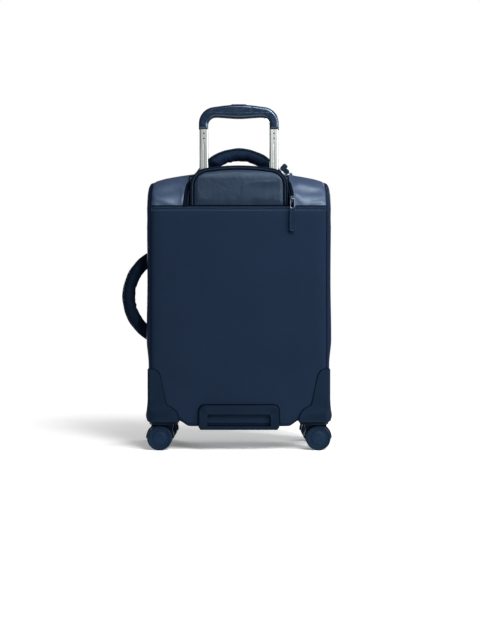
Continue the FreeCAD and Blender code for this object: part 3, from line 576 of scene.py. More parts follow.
def arch_path(half, top, foot, radius=35.0, count=160, level=False):
    """A door-shaped outline: left foot, up, over the domed top and down, with outward normals."""
    slope, dome = (0.004, 9000.0) if level else (0.16, half + 287.0)
    apex = top + dome * (math.hypot(1.0, slope) - 1.0)
    lean = math.atan(slope)
    flat = dome * math.sin(lean)
    turn = math.pi / 2 - lean
    reach = radius * math.tan(turn / 2)
    side_top = apex - half * slope - reach
    centre = np.array([half - radius, side_top])
    path = [(half, foot), (half, side_top)]
    for a in np.linspace(0, turn, 14)[1:]:
        path.append((centre[0] + radius * math.cos(a), centre[1] + radius * math.sin(a)))
    dome_z = apex - flat * slope - dome * math.cos(lean)
    for a in np.linspace(lean, 0, 14):
        path.append((dome * math.sin(a), dome_z + dome * math.cos(a)))
    right = np.array(path)
    left = right[:-1][::-1] * (-1, 1)
    full = np.concatenate([right, left])[::-1]
    full = thin(resample(full, 1.0)[0], count)
    if level:
        full[:, 0] *= 1.035 - 0.105 * smooth((full[:, 1] - foot - 6.0) / 82.0)
    t = tangents(full)
    return full, np.stack([-t[:, 1], t[:, 0]], -1)


def fold(x, s, start, end, width, height):
    """A soft crease from start to end, fading out at both ends."""
    a, b = np.array(start, float), np.array(end, float)
    d = (b - a) / np.linalg.norm(b - a)
    along = ((x - a[0]) * d[0] + (s - a[1]) * d[1]) / np.linalg.norm(b - a)
    across = (s - a[1]) * d[0] - (x - a[0]) * d[1]
    return height * bell(across, 0, width) * smooth(along / 0.35) * smooth((1 - along) / 0.35)


# The top panel's lasting creases beside the mouth: start, end, width and height.
PLEATS = [
    ((-182, 500), (-120, 470), 8.0, 2.2),
    ((-150, 530), (-98, 508), 8.0, 0.9),
    ((-112, 470), (-106, 505), 4.0, 1.0),
    ((102, 506), (130, 470), 8.0, 1.8),
    ((128, 474), (172, 482), 4.0, 1.3),
    ((108, 530), (154, 512), 9.0, 0.9),
]


def top_panel():
    x = np.linspace(-SEAM_X, SEAM_X, 190)
    s = np.linspace(SEAM_Z - 2.0, ARC_END + ZIP_Y - ZIP_HALF - ARC_Y + 1, 90)
    xx, ss = np.meshgrid(x, s, indexing="ij")
    p, n = on_back(xx, ss)
    outline, _ = arch_path(MOUTH_HALF + 3, MOUTH_TOP + 3, SEAM_Z - 10, level=True)
    top_at = np.interp(xx, outline[:, 0], outline[:, 1], left=0, right=0)
    in_mouth = (np.abs(xx) < MOUTH_HALF + 3) & (ss < top_at)
    edge = smooth((SEAM_X - np.abs(xx)) / 26) * smooth((ss - SEAM_Z) / 24)
    edge = edge * smooth((ARC_END + 23 - ss) / 22)
    beside = smooth((np.abs(xx) - MOUTH_HALF - 8) / 14)
    above = smooth((ss - MOUTH_TOP - 8) / 14)
    free = np.maximum(beside, above)
    stretched = np.stack([xx * 0.55, ss * 0, ss], -1)
    creases = 0.7 * (ridges(stretched, 46.0, 3.3) - 0.45) + 0.2 * noise(stretched, 19.0, 7.1)
    across = np.where(xx < 0, xx + 130.0, xx - 140.0)
    facet = np.exp(-((across / 30.0) ** 2) - ((ss - 507.0) / 16.0) ** 2)
    pleats = sum(fold(xx, ss, *crease) for crease in PLEATS)
    swell = (1.8 * edge - 4.2 * facet + creases * (0.3 + 0.7 * edge)) * free
    swell = swell * smooth((ss - SEAM_Z + 2) / 9) * smooth((SEAM_X - np.abs(xx) + 1) / 9)
    swell = swell + pleats * smooth((ss - SEAM_Z) / 5) * smooth((SEAM_X - np.abs(xx)) / 6)
    p = p + n * swell[..., None]
    sheet("top_panel_cloth", p, n, SATIN, "case", ["top_panel"], keep=~in_mouth)


def zip_line(y, low=HINGE_Z):
    """Where the case's surface crosses the plane y, from low on the left, over, to low on the right."""
    side = np.linspace(low, 470.0, 70)
    over = np.linspace(0, math.pi / 2, 50)[1:]
    across = np.linspace(-140.0, 140.0, 90)[1:-1]
    rays = [((-140.0, y, z), (-1.0, 0, 0)) for z in side]
    rays += [((-140.0, y, 470.0), (-math.cos(a), 0, math.sin(a))) for a in over]
    rays += [((x, y, 470.0), (0, 0, 1.0)) for x in across]
    rays += [((140.0, y, 470.0), (math.cos(a), 0, math.sin(a))) for a in over[::-1]]
    rays += [((140.0, y, z), (1.0, 0, 0)) for z in side[::-1]]
    origins, directions = (np.array(part) for part in zip(*rays))
    return resample(cast(origins, directions), 1.0)[0]


def gussets():
    rows = 150
    for side in (-1, 1):
        r = np.linspace(0, 1, rows)
        s = np.where(r < 0.8, 62 + (450 - 62) * r / 0.8, 450 + (ARC_END + 23 - 450) * (r - 0.8) / 0.2)
        a, _ = on_back(SEAM_X, s)
        edge = zip_line(ZIP_Y - ZIP_HALF + 1, 62.0)
        half = edge[: np.argmin(np.abs(edge[:, 0] + SEAM_X) + (edge[:, 2] < 480) * 1e3) + 1]
        d = travelled(half)
        knee = np.interp(450.0, half[:, 2], d) if half[-1, 2] > 450 else d[-1] * 0.8
        at = np.where(r < 0.8, knee * r / 0.8, knee + (d[-1] - knee) * (r - 0.8) / 0.2)
        b = points_at(at, d, half) * (-1, 1, 1)
        p, n = ruled(a, b, 44)
        v = np.linspace(0, 1, 44)[None, :]
        z = p[..., 2]
        quiet = smooth((z - 165.0) / 50.0)
        edge = smooth(v / 0.16) * smooth((1 - v) / 0.14)
        swell = (3.2 + 0.9 * noise(p * (1, 1, 0.5), 55.0, 2.0)) * edge * quiet
        swell = swell + 0.35 * (ridges(p * (1, 1, 0.8), 24.0, 5.0) - 0.4) * edge * smooth((z - 380) / 60)
        p = p + n * swell[..., None]
        p[..., 0] *= side
        n[..., 0] *= side
        name = side_name(side)
        sheet(f"gusset_{name}_cloth", p, n, GUSSET, "case", ["side_panels"])
        path, up = on_back(SEAM_X, np.linspace(60.0, ARC_END + 22, 330), 0.5)
        path[:, 0] *= side
        up[:, 0] *= side
        cord(f"gusset_{name}_piping", path, up, 1.15, BINDING, "case")


def lower_cloth():
    """The apron round the front below the lid, and the cloth under the case."""
    corner = np.linspace(0, math.pi / 2, 24)
    around = [(-HALF, y) for y in np.linspace(ZIP_Y - ZIP_HALF + 1, 60, 24)]
    around += [(-140 - 35 * math.cos(a), 65 + 35 * math.sin(a)) for a in corner]
    around += [(x, FRONT) for x in np.linspace(-138, 138, 80)]
    around += [(140 + 35 * math.sin(a), 65 + 35 * math.cos(a)) for a in corner]
    around += [(HALF, y) for y in np.linspace(60, ZIP_Y - ZIP_HALF + 1, 24)]
    around = np.array(around)
    low = np.column_stack([around, underside(around[:, 0]) + 5.0])
    high = np.column_stack([around, np.full(len(around), HINGE_Z - 0.6)])
    p, n = ruled(low, high, 40)
    z = p[..., 2]
    middle = smooth((150 - np.abs(p[..., 0])) / 30) * smooth((z - 62) / 16) * smooth((HINGE_Z - z) / 16)
    swell = (1.2 + 0.9 * noise(p * (0.6, 1, 1), 40.0, 4.0)) * middle
    sheet("apron_cloth", p + n * swell[..., None], n, CANVAS, "case", ["base_panel"])

    x = np.linspace(-HALF, HALF, 110)
    y = np.linspace(REAR, FRONT, 60)
    xx, yy = np.meshgrid(x, y, indexing="ij")
    target = np.stack([xx, yy, underside(xx) + np.where(
        (np.abs(xx) > 165) | (yy < -103) | (yy > 93), 4.0, -2.0)], -1)
    p, n = project(target, (-140, -80, 90), (140, 65, 90))
    sheet("underside_cloth", p, n, GUSSET, "case", ["base_panel"])


# Shares of the way round half the lid at which its side ends and its top corner ends.
SIDE_SHARE, CORNER_SHARE = 0.62, 0.74


def lid_edge_curves():
    """The lid's zip edge and its front seam, matched point by point from bottom left to bottom right."""
    edge = zip_line(ZIP_Y + ZIP_HALF - 1)
    half = edge[: len(edge) // 2]
    d = travelled(half)
    knee = np.interp(485.0, half[:, 2], d)
    brow = np.interp(-128.0, half[:, 0], d)
    t = np.linspace(0, 1, 150)
    at = np.interp(t, [0, SIDE_SHARE, CORNER_SHARE, 1], [0, knee, brow, d[-1]])
    a = points_at(at, d, half)
    turn = np.interp(t, [SIDE_SHARE, CORNER_SHARE], [0, math.pi / 2])
    bx = np.where(t < CORNER_SHARE, -132 - 16 * np.cos(turn), -132 * (1 - t) / (1 - CORNER_SHARE))
    bz = np.where(t < SIDE_SHARE, HINGE_Z + (480 - HINGE_Z) * t / SIDE_SHARE, 480 + 16 * np.sin(turn))
    b = np.stack([bx, np.full_like(t, FRONT), bz], -1)
    mirror = np.array([-1.0, 1, 1])
    return np.concatenate([a, a[-2::-1] * mirror]), np.concatenate([b, b[-2::-1] * mirror])


def lid_cloth():
    a, b = lid_edge_curves()
    p, n = ruled(a, b, 56)
    v = np.linspace(0, 1, 56)[None, :]
    z = p[..., 2]
    edge = smooth(v / 0.12) * smooth((1 - v) / 0.08)
    top = smooth((z - 470) / 40)
    creases = (ridges(p * (0.6, 1.0, 1.0), 42.0, 9.0) - 0.42) * (0.5 + 0.6 * top)
    swell = edge * (1.8 + 0.8 * top + 0.9 * noise(p, 48.0, 6.0) + creases) * smooth((z - HINGE_Z) / 12)
    sheet("lid_band_cloth", p + n * swell[..., None], n, SATIN, "lid", ["lid_side_band"])
    path, up = project(b)
    cord("lid_piping", path + up * 0.7, up, 1.5, BINDING, "lid")

    rows = 120
    u = np.linspace(-1, 1, 130)
    zz = np.linspace(HINGE_Z + 0.6, 496.0, rows)
    half_at = np.where(zz < 480, 148.0, 132 + np.sqrt(np.maximum(16**2 - (zz - 480) ** 2, 0)))
    x = u[:, None] * half_at[None, :]
    target = np.stack([x, np.full_like(x, FRONT), np.broadcast_to(zz, x.shape)], -1)
    p, n = project(target)
    edge = smooth((1 - np.abs(u)) / 0.12)[:, None]
    edge = edge * smooth((zz - HINGE_Z) / 20) * smooth((496 - zz) / 20)
    swell = edge * (2.4 + 0.8 * noise(p, 70.0, 8.0)) + 0.15
    sheet("lid_front_cloth", p + n * swell[..., None], n, CANVAS, "lid", ["front_panel"])
    for inset in (4.0, 8.5):
        low = (np.abs(b[:, 0]) > 100) | (b[:, 2] > 300)
        inner = b[low].copy()
        inner[:, 0] *= 1 - inset / 148
        inner[:, 2] -= inset * (inner[:, 2] > 485)
        path, up = project(inner)
        stitch(path + up * 0.9, up, "lid")


# ---- zips

COIL_PITCH = 2.4


def thin(line, count):
    """A number of points picked evenly from a line."""
    return line[np.linspace(0, len(line) - 1, count).round().astype(int)]


def beads(count, radius):
    """The radius along a zip's spiral coil, four points to a bead."""
    return radius * (0.72 + 0.28 * np.cos(np.arange(count) * math.pi / 2))


def zip_half(name, lines, body, node, teeth_line):
    """A zip tape between two matched lines on the form, with a row of coil loops on its inner line."""
    a, b = lines
    count = min(len(a), len(b))
    a, b = thin(a, count), thin(b, count)
    v = np.linspace(0, 1, 7)[None, :, None]
    p = a[:, None] * (1 - v) + b[:, None] * v
    n = outward(p)
    rib = 0.35 + 0.35 * bell(v[..., 0], 0.92, 0.12)
    sheet(name, p + n * rib[..., None], n, TAPE, body, [node], thick=0.8)
    coil(name + "_coil", thin(teeth_line, count), body)


def coil(name, line, body):
    """A spiral coil that lies on the form along a line."""
    path = resample(line, COIL_PITCH / 4)[0]
    up = outward(path)
    cord(name, path + up * 0.75, up, beads(len(path), 0.95), COIL, body, flat=0.75, sides=6)


def coil_along(name, path, up, body):
    """A spiral coil along a path of its own."""
    fine, fine_up = resample(path, COIL_PITCH / 4, up)
    cord(name, fine, fine_up, beads(len(fine), 1.0), COIL, body, flat=0.8, sides=6)


def main_zip():
    body = (zip_line(ZIP_Y - ZIP_HALF), zip_line(ZIP_Y - 0.6), zip_line(ZIP_Y - 1.15))
    lid = (zip_line(ZIP_Y + ZIP_HALF), zip_line(ZIP_Y + 0.6), zip_line(ZIP_Y + 1.15))
    zip_half("body_zip", body[:2], "case", "body_zip_tape", body[2])
    zip_half("lid_zip", lid[:2], "lid", "lid_zip_tape", lid[2])
    for y, owner in ((ZIP_Y - ZIP_HALF - 1.6, "case"), (ZIP_Y + ZIP_HALF + 1.6, "lid")):
        line = zip_line(y)
        up = outward(line)
        stitch(line[::3] + up[::3] * 1.0, up[::3], owner)


def mouth_tape():
    """The fixed half of the compartment's zip, round the mouth in the top panel."""
    inner, out = arch_path(MOUTH_HALF, MOUTH_TOP, SEAM_Z - 2, count=300, level=True)
    widths = np.linspace(0.0, 8.2, 9)
    grid = inner[:, None] + out[:, None] * widths[None, :, None]
    grid[..., 1] = np.maximum(grid[..., 1], SEAM_Z - 2)
    p, n = on_back(grid[..., 0], grid[..., 1])
    ridge = 1.0 + 1.3 * smooth((widths - 3.6) / 1.6)
    p = p + n * (ridge * smooth((8.9 - widths) / 1.5) + 0.2)[None, :, None]
    sheet("mouth_tape", p[:, :5], n[:, :5], TAPE, "case", ["flap_zip_tape"], thick=0.9)
    sheet("mouth_binding", p[:, 4:], n[:, 4:], BAND, "case", thick=0.9)
    path, up = on_back(inner[:, 0], inner[:, 1], 0.5)
    coil_along("mouth_coil", path, up, "case")
    # Two dark cords, beside the coil and along the binding's outer edge: painted shade lines.
    for width, lift in ((3.7, 1.6), (8.6, 0.7)):
        line = inner + out * width
        line = line[line[:, 1] > SEAM_Z]
        path, up = on_back(line[:, 0], line[:, 1], lift)
        cord(f"mouth_rim_painted_shade_{width:.0f}", path, up, 0.7, PAINTED_SHADE, "case")


# ---- compartment flap

FLAP_HALF, FLAP_TOP, FLAP_FOOT, FLAP_Y = 93.4, 550.4, 472.6, -108.6


def flap_lean(z):
    """How far the standing flap's cloth has curled towards the case at height z."""
    h = np.clip((z - FLAP_FOOT) / (FLAP_TOP - FLAP_FOOT), 0, 1.1)
    bend = np.clip(h - 0.66, 0.0, 0.18)
    return 1.2 * h**2 + 91.0 * bend**2 + 32.8 * np.maximum(h - 0.84, 0.0)


def flap_place(x, z, off):
    """A point of the flap's outer face, off mm towards the viewer from the back."""
    return np.stack(np.broadcast_arrays(x, FLAP_Y + flap_lean(z) - off, z), -1)


def flap():
    outline, out = arch_path(FLAP_HALF, FLAP_TOP, FLAP_FOOT, count=260)
    inner, _ = arch_path(FLAP_HALF - 6.4, FLAP_TOP - 6.4, FLAP_FOOT, radius=29.0, count=260)
    u = np.sin(np.linspace(-math.pi / 2, math.pi / 2, 120))
    v = np.linspace(0, 1, 60)
    x = u * (FLAP_HALF - 6.4)
    over = inner[np.argsort(inner[:, 0], kind="stable")]
    high = np.interp(x, over[:, 0], over[:, 1])
    side_top = inner[np.abs(inner[:, 0]) > FLAP_HALF - 6.6][:, 1].max()
    high[0] = high[-1] = side_top
    z = FLAP_FOOT + (high[:, None] - FLAP_FOOT) * v[None, :]
    xx = np.broadcast_to(x[:, None], z.shape)
    edge = smooth((1 - np.abs(u)) / 0.1)[:, None] * smooth((1 - v) / 0.12) * smooth((v + 0.05) / 0.25)
    q = np.stack([xx * 0.45, z * 0, z], -1)
    swell = edge * (1.1 + 0.5 * noise(q, 30.0, 1.0) + 0.35 * (ridges(q, 22.0, 12.0) - 0.4))
    p = flap_place(xx, z, swell)
    n = same(BACKWARD, p)
    # The flap cloth takes the darker painted-shade copy of the satin.
    sheet("flap_cloth", p, n, FLAP_SHADED_SATIN, "flap", ["flap_panel"], thick=1.8)

    widths = np.linspace(0.0, 7.2, 10)
    grid = outline[:, None] - out[:, None] * widths[None, :, None]
    grid[..., 1] = np.maximum(grid[..., 1], FLAP_FOOT)
    ridge = 0.25 + 0.9 * bell(widths, 5.9, 0.9) + 0.55 * bell(widths, 1.0, 1.1)
    p = flap_place(grid[..., 0], grid[..., 1], np.broadcast_to(ridge, grid.shape[:2]))
    n = same(BACKWARD, p)
    sheet("flap_band", p, n, BAND, "flap", ["flap_panel"], thick=2.0)
    # A dark cord just inside the band: painted shade line where band and cloth meet.
    line = outline - out * 7.4
    line = line[line[:, 1] > FLAP_FOOT]
    path = flap_place(line[:, 0], line[:, 1], 0.7)
    cord("flap_band_painted_shade", path, same(BACKWARD, path), 0.9, PAINTED_SHADE, "flap")
    path = flap_place(outline[:, 0], outline[:, 1], -0.6)
    coil_along("flap_coil", path, same(BACKWARD, path), "flap")
    line = outline - out * 4.0
    keep = line[:, 1] > FLAP_FOOT + 1
    path = flap_place(line[keep, 0], line[keep, 1], 0.25)
    stitch(path, same(BACKWARD, path), "flap")


# ---- carry handles


def bow(name, body, node, centre, out, along, root, material):
    """A padded carry handle: an arc about centre, bulging along out, whose flat ends reach to
    root mm from it."""
    centre, out, along = (np.array(v, float) for v in (centre, out, along))
    face = np.array(BACKWARD)
    ring, fat, flat_end = 86.7, 12.9, 1.9
    w = np.linspace(-1, 1, 230)
    psi = np.linspace(0, 2 * math.pi, 56, endpoint=False)
    slim = smooth((np.abs(w) - 0.62) / 0.24)
    thick = fat * (1 - slim) + flat_end * slim
    rho = fat * np.cos(psi)[None, :] * np.ones_like(w)[:, None]
    theta = w[:, None] * np.arccos((root + 0.2) / (ring + rho))
    height = np.broadcast_to(np.sin(psi), theta.shape)
    creases = ridges(np.stack([theta * 95, rho * 0.25, height * 3], -1), 7.0, 4.0)
    inner_side = smooth((0.35 - np.cos(psi)) / 1.2)[None, :]
    shape = 0.55 * noise(np.stack([theta * 80, rho, height * 9], -1), 14.0, 9.0)
    push = (creases - 0.55) * 0.85 * inner_side + shape
    push = push * (1 - slim[:, None])
    seam = bell(np.cos(psi), 0.62, 0.09)[None, :] * (1 - slim[:, None])
    push = push - 0.8 * seam
    radial = ring + rho + push * np.cos(psi)[None, :]
    depth = thick[:, None] * np.sin(psi)[None, :] + push * np.sin(psi)[None, :]
    spoke = out * np.cos(theta)[..., None] + along * np.sin(theta)[..., None]
    p = centre + spoke * radial[..., None] + face * depth[..., None]
    uv = np.stack(np.broadcast_arrays(w[:, None] * 90, psi * 13), -1)
    obj = make(name, p, tube_faces(len(w), len(psi)), material, uv=uv)
    edit_mesh(obj, face_out)
    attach(obj, body)
    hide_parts(node)
    for sign in (-1, 1):
        rho_at = fat * 0.62
        th = np.linspace(-1, 1, 200) * np.arccos((root + 0.4) / (ring + rho_at)) * 0.985
        k = np.interp(np.abs(th), np.abs(th).max() * np.array([0.62, 0.86]), [0, 1])
        half = (fat * (1 - smooth(k)) + flat_end * smooth(k)) * 0.785
        spoke = out * np.cos(th)[:, None] + along * np.sin(th)[:, None]
        path = centre + spoke * (ring + rho_at) + face * (sign * half)[:, None]
        up = spoke * 0.62 + face * sign * 0.78
        cord(f"{name}_piping_{'a' if sign > 0 else 'b'}", path, up, 0.95, BINDING, body)


def handles():
    bow("top_handle_padding", "handle_top", "top_handle", (0, -42.0, 493.6),
        (0, 0, 1), (1, 0, 0), 51.5, PADDED)
    # The side handle takes the darker painted-shade copy of its nylon.
    bow("side_handle_padding", "handle_side", "side_handle", (-131.0, -55.0, 298.5),
        (-1, 0, 0), (0, 0, 1), 47.1, PADDED_SHADED)


# ---- small pieces


def patch(name, centre, e1, e2, size, high, material, body, nodes):
    """A small sewn patch: a flat pillow with rounded corners and a box of stitches on it."""
    centre, e1, e2 = (np.array(v, float) for v in (centre, e1, e2))
    e3 = np.cross(e1, e2)
    u = np.linspace(-1, 1, 30)
    uu, vv = np.meshgrid(u, u, indexing="ij")
    lift = high * (1 - np.abs(uu) ** 8) * (1 - np.abs(vv) ** 8)
    squeeze = 1 - 0.08 * uu**4 * vv**4
    p = centre + (uu * squeeze * size[0] / 2)[..., None] * e1
    p = p + (vv * squeeze * size[1] / 2)[..., None] * e2 + lift[..., None] * e3
    n = same(e3, p)
    sheet(name, p, n, material, body, nodes, thick=high)
    a, b = size[0] / 2 - 2.2, size[1] / 2 - 2.2
    corners = [(-a, -b), (a, -b), (a, b), (-a, b), (-a, -b), (a, b)]
    for (x0, y0), (x1, y1) in zip(corners, corners[1:]):
        t = np.linspace(0, 1, 12)[:, None]
        path = centre + (x0 + (x1 - x0) * t) * e1 + (y0 + (y1 - y0) * t) * e2 + e3 * high
        stitch(path, same(e3, path), body, pitch=3.0)


def anchors():
    for side in (-1, 1):
        tilt = math.asin(71.0 * side / CROWN_R)
        e1 = (math.cos(tilt), 0, -math.sin(tilt))
        z = CROWN_Z - CROWN_R * (1 - math.cos(tilt)) + 0.2
        patch(f"top_anchor_{side_name(side)}", (71.0 * side, -30.0, z + 0.8), e1, (0, 1, 0),
              (34, 20), 1.3, WEBBING, "case", ["handle_anchors"])
        patch(f"side_anchor_{'high' if side > 0 else 'low'}", (-175.6, -55.0, 298.5 + 71 * side),
              (0, 0, 1), (0, 1, 0), (20, 34), 1.2, WEBBING, "case", ["handle_anchors"])


def ring_path(length, width, start, bend=3.2):
    """A closed stadium outline in the plane of the first two axes, from start along the first."""
    points = []
    r = min(bend, width / 2)
    for cx, cy, a0 in ((start + length - r, width / 2 - r, 0), (start + r, width / 2 - r, 90),
                       (start + r, r - width / 2, 180), (start + length - r, r - width / 2, 270)):
        for a in np.linspace(a0, a0 + 90, 7):
            points.append((cx + r * math.cos(math.radians(a)), cy + r * math.sin(math.radians(a))))
    points = np.array(points + points[:1])
    return resample(points, 0.8)[0][:-1]


def squared(t, power):
    """A sine or cosine that makes a circle into a rounded square."""
    return np.sign(t) * np.abs(t) ** power


def pull(name, body, node, pivot, e1, e2, ring, tab, turned=False):
    """A zip pull: a wire ring about the pivot and a moulded tab with a raised rim, reaching along e1."""
    pivot, e1, e2 = (np.array(v, float) for v in (pivot, e1, e2))
    e3 = np.cross(e1, e2)
    length, width, wire = ring
    flat = ring_path(length, width, -1.0)
    path = pivot + flat[:, :1] * e1 + flat[:, 1:] * e2
    link = cord(f"{name}_link", path, same(e3, path), wire, LINK, body, closed=True, sides=10)
    start, end, wide, thick, aside = tab
    f2, f3 = (e3, e2) if turned else (e2, e3)
    nu, nv = 46, 26
    u = (1 - np.cos(math.pi * np.linspace(0, 1, nu))) / 2
    x = start + (end - start) * u
    near_end = np.minimum(x - start, end - x)
    bend = wide * 0.36
    inset = bend - np.sqrt(np.maximum(bend**2 - np.maximum(bend - near_end, 0) ** 2, 0))
    half = (wide / 2 - inset) * np.interp(u, [0, 0.15, 0.4, 1], [0.80, 0.93, 1.0, 1.0])
    a = np.linspace(0, 2 * math.pi, nv, endpoint=False)
    across = half[:, None] * squared(np.cos(a), 0.45)[None, :]
    border = np.minimum(half[:, None] - np.abs(across), near_end[:, None])
    rim = 1 - smooth((border - 1.0) / 0.8)
    ends = smooth(near_end / 1.0 + 0.35)[:, None]
    through = (thick / 2) * squared(np.sin(a), 0.55)[None, :] * (0.66 + 0.34 * rim) * ends
    p = pivot + x[:, None, None] * e1 + across[..., None] * f2 + (through[..., None] + aside) * f3
    obj = make(f"{name}_tab", p, tube_faces(nu, nv), PULL)
    edit_mesh(obj, face_out)
    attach(obj, body)
    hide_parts(node)


def crown_frame(x, up, lean):
    """A point up mm over the main zip at x, and the direction lean degrees above the cloth there."""
    a = math.asin(x / CROWN_R)
    reach = CROWN_R + up
    at = (reach * math.sin(a), ZIP_Y, CROWN_Z - CROWN_R + reach * math.cos(a))
    b = math.radians(lean) - a
    return at, (math.cos(b), 0.0, math.sin(b))


def pulls():
    pull("flap_pull", "pull_flap", "flap_pull", (102.5, -117.4, 484.0), (0, 0, -1), (1, 0, 0),
         (19.0, 7.4, 1.15), (17.2, 62.0, 12.0, 2.8, 0.0))
    at, e1 = crown_frame(80.0, 8.7, 53.0)
    pull("main_pull_left", "pull_main_left", "main_pull_left", at, e1, (0, 1, 0), (9.0, 6.6, 1.1),
         (5.5, 21.5, 11.0, 2.6, -2.6), turned=True)
    at, e1 = crown_frame(104.0, 8.7, 157.0)
    pull("main_pull_right", "pull_main_right", "main_pull_right", at, e1, (0, 1, 0), (9.0, 6.6, 1.1),
         (5.5, 17.0, 11.0, 2.6, 2.6), turned=True)
    pull("pocket_pull", "pull_pocket", "pocket_pull", (100.0, 122.65, 398.0), (0, 0, -1), (0, 1, 0),
         (12.6, 4.0, 0.75), (9.4, 40.0, 10.0, 2.4, 0.0), turned=True)


def pocket():
    """The padded outside pocket on the lid, with its zip along the top."""
    half, low, high, face, zip_z = 128.0, 186.0, 424.0, 113.2, 398.0
    mid, tall = (low + high) / 2, (high - low) / 2
    u = np.sin(np.linspace(-math.pi / 2, math.pi / 2, 110))
    v = (1 - np.cos(np.linspace(0, math.pi, 100))) / 2
    uu, vv = np.meshgrid(u, v * 2 - 1, indexing="ij")
    r = 24.0
    cx, cz = uu * half, mid + vv * tall
    ax, az = np.abs(cx) - (half - r), np.abs(cz - mid) - (tall - r)
    over = np.hypot(np.maximum(ax, 0), np.maximum(az, 0))
    beyond = (ax > 0) & (az > 0) & (over > r)
    back = r / np.maximum(over, 1e-6)
    cx = np.where(beyond, np.sign(cx) * (half - r + ax * back), cx)
    cz = np.where(beyond, mid + np.sign(vv) * (tall - r + az * back), cz)
    inset = np.minimum(half - np.abs(cx), tall - np.abs(cz - mid))
    ax, az = np.abs(cx) - (half - r), np.abs(cz - mid) - (tall - r)
    inset = np.where((ax > 0) & (az > 0), r - np.hypot(np.maximum(ax, 0), np.maximum(az, 0)), inset)
    rise = 9.2 * np.clip(inset / 9.0, 0, 1) ** 0.5 + 2.2 * smooth(inset / 60.0)
    q = np.stack([cx * 0.6, cz * 0, cz], -1)
    rise = rise + smooth(inset / 14) * (0.6 * noise(q, 45.0, 3.0) + 0.5 * (ridges(q, 30.0, 8.0) - 0.45))
    rise = rise - 1.6 * bell(cz, zip_z, 4.5) * smooth(inset / 10)
    y = FRONT + 1.6 + np.maximum(rise, 0)
    p = np.stack([cx, y, cz], -1)
    n = same(FORWARD, p)
    sheet("pocket_cloth", p, n, CANVAS, "lid", ["front_pocket"], thick=1.4)
    xs = np.linspace(-118, 112, 240)
    path = np.stack([xs, np.full_like(xs, face - 0.9), np.full_like(xs, zip_z)], -1)
    up = same(FORWARD, path)
    band = path[:, None] + np.array([0, 0, 1.0]) * np.linspace(-6, 6, 9)[None, :, None]
    band[..., 1] += 0.9 * (1 - (np.linspace(-1, 1, 9) ** 2))[None, :] - 0.8
    sheet("pocket_zip_tape", band, same(FORWARD, band), TAPE, "lid", thick=0.8)
    coil_along("pocket_zip_coil", path + up * 0.6, up, "lid")
    for dz in (-7.6, 7.6):
        stitch(path[4:-4] + (0, 0.4, dz), up[4:-4], "lid")
    rim = ring_path(2 * half, high - low, -half, bend=r)
    rim = np.stack([rim[:, 0], np.full(len(rim), FRONT + 2.6), rim[:, 1] + mid], -1)
    cord("pocket_piping", rim, same(FORWARD, rim), 1.5, BINDING, "lid", closed=True)


def linings():
    """Thin cloth inside the body and the lid, sagging a little between its fixings."""
    z_mid, inset = 300.0, -9.6

    def shell(name, y_wall, y_edge, body, node):
        a = np.linspace(0, 2 * math.pi, 200)
        direction = np.stack([np.cos(a), np.zeros_like(a), np.sin(a)], -1)
        rows = []
        for y in np.linspace(y_edge, y_wall, 14):
            rows.append(cast(np.array([0.0, y, z_mid]), direction, inset))
        rim = rows[-1]
        centre = np.array([0.0, y_wall, z_mid])
        for t in np.linspace(1, 0.02, 26)[1:]:
            rows.append(centre + (rim - centre) * t)
        p = np.stack(rows, 1)
        inward = centre + np.array([0, (y_edge - y_wall) * 0.6, 0]) - p
        n = unit(inward)
        p = p + n * (0.5 + 0.5 * noise(p, 30.0, 5.0))[..., None]
        sheet(name, p, n, LINING, body, [node], thick=0.5)

    shell("body_lining_cloth", -66.5, ZIP_Y - 2.5, "case", "body_lining")
    shell("lid_lining_cloth", 89.0, ZIP_Y + 2.5, "lid", "lid_lining")


def straps():
    for sx in (-1, 1):
        for sz in (-1, 1):
            t = np.linspace(0, 1, 60)
            x = (12 + 136 * t) * sx
            z = 300 + (8 + 142 * t) * sz
            y = np.full_like(t, -65.2) + 0.6 * np.sin(t * 9)
            path = np.stack([x, y, z], -1)
            up = same(FORWARD, path)
            d = tangents(path)
            side = np.cross(d, up)
            w = np.linspace(-8, 8, 7)
            p = path[:, None] + side[:, None] * w[None, :, None]
            tag = f"{side_name(sx)}_{'up' if sz > 0 else 'down'}"
            sheet(f"strap_{tag}", p, same(FORWARD, p), WEBBING, "case", ["packing_straps"],
                  thick=1.2)
    ring = ring_path(28, 62, -14, bend=5)
    path = np.stack([ring[:, 0], np.full(len(ring), -62.6), ring[:, 1] + 300], -1)
    obj = cord("strap_buckle", path, same(FORWARD, path), 2.6, GRIP, "case", flat=0.6, closed=True)
    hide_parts("packing_straps")


def sew():
    """Writes each body's stitches as one mesh, and a dark painted shade line under each row of stitches.
    """
    for body, (points, faces) in STITCHES.items():
        obj = make(f"stitches_{body}", np.array(points), faces, THREAD)
        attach(obj, body)
    # Dark flattened cords under the stitch rows: painted shade.
    for i, (path, normals, body) in enumerate(STITCH_SHADE_LINES):
        cord(f"painted_shade_line_{i}", path, normals, 0.85, PAINTED_SHADE, body, flat=0.35, sides=6)


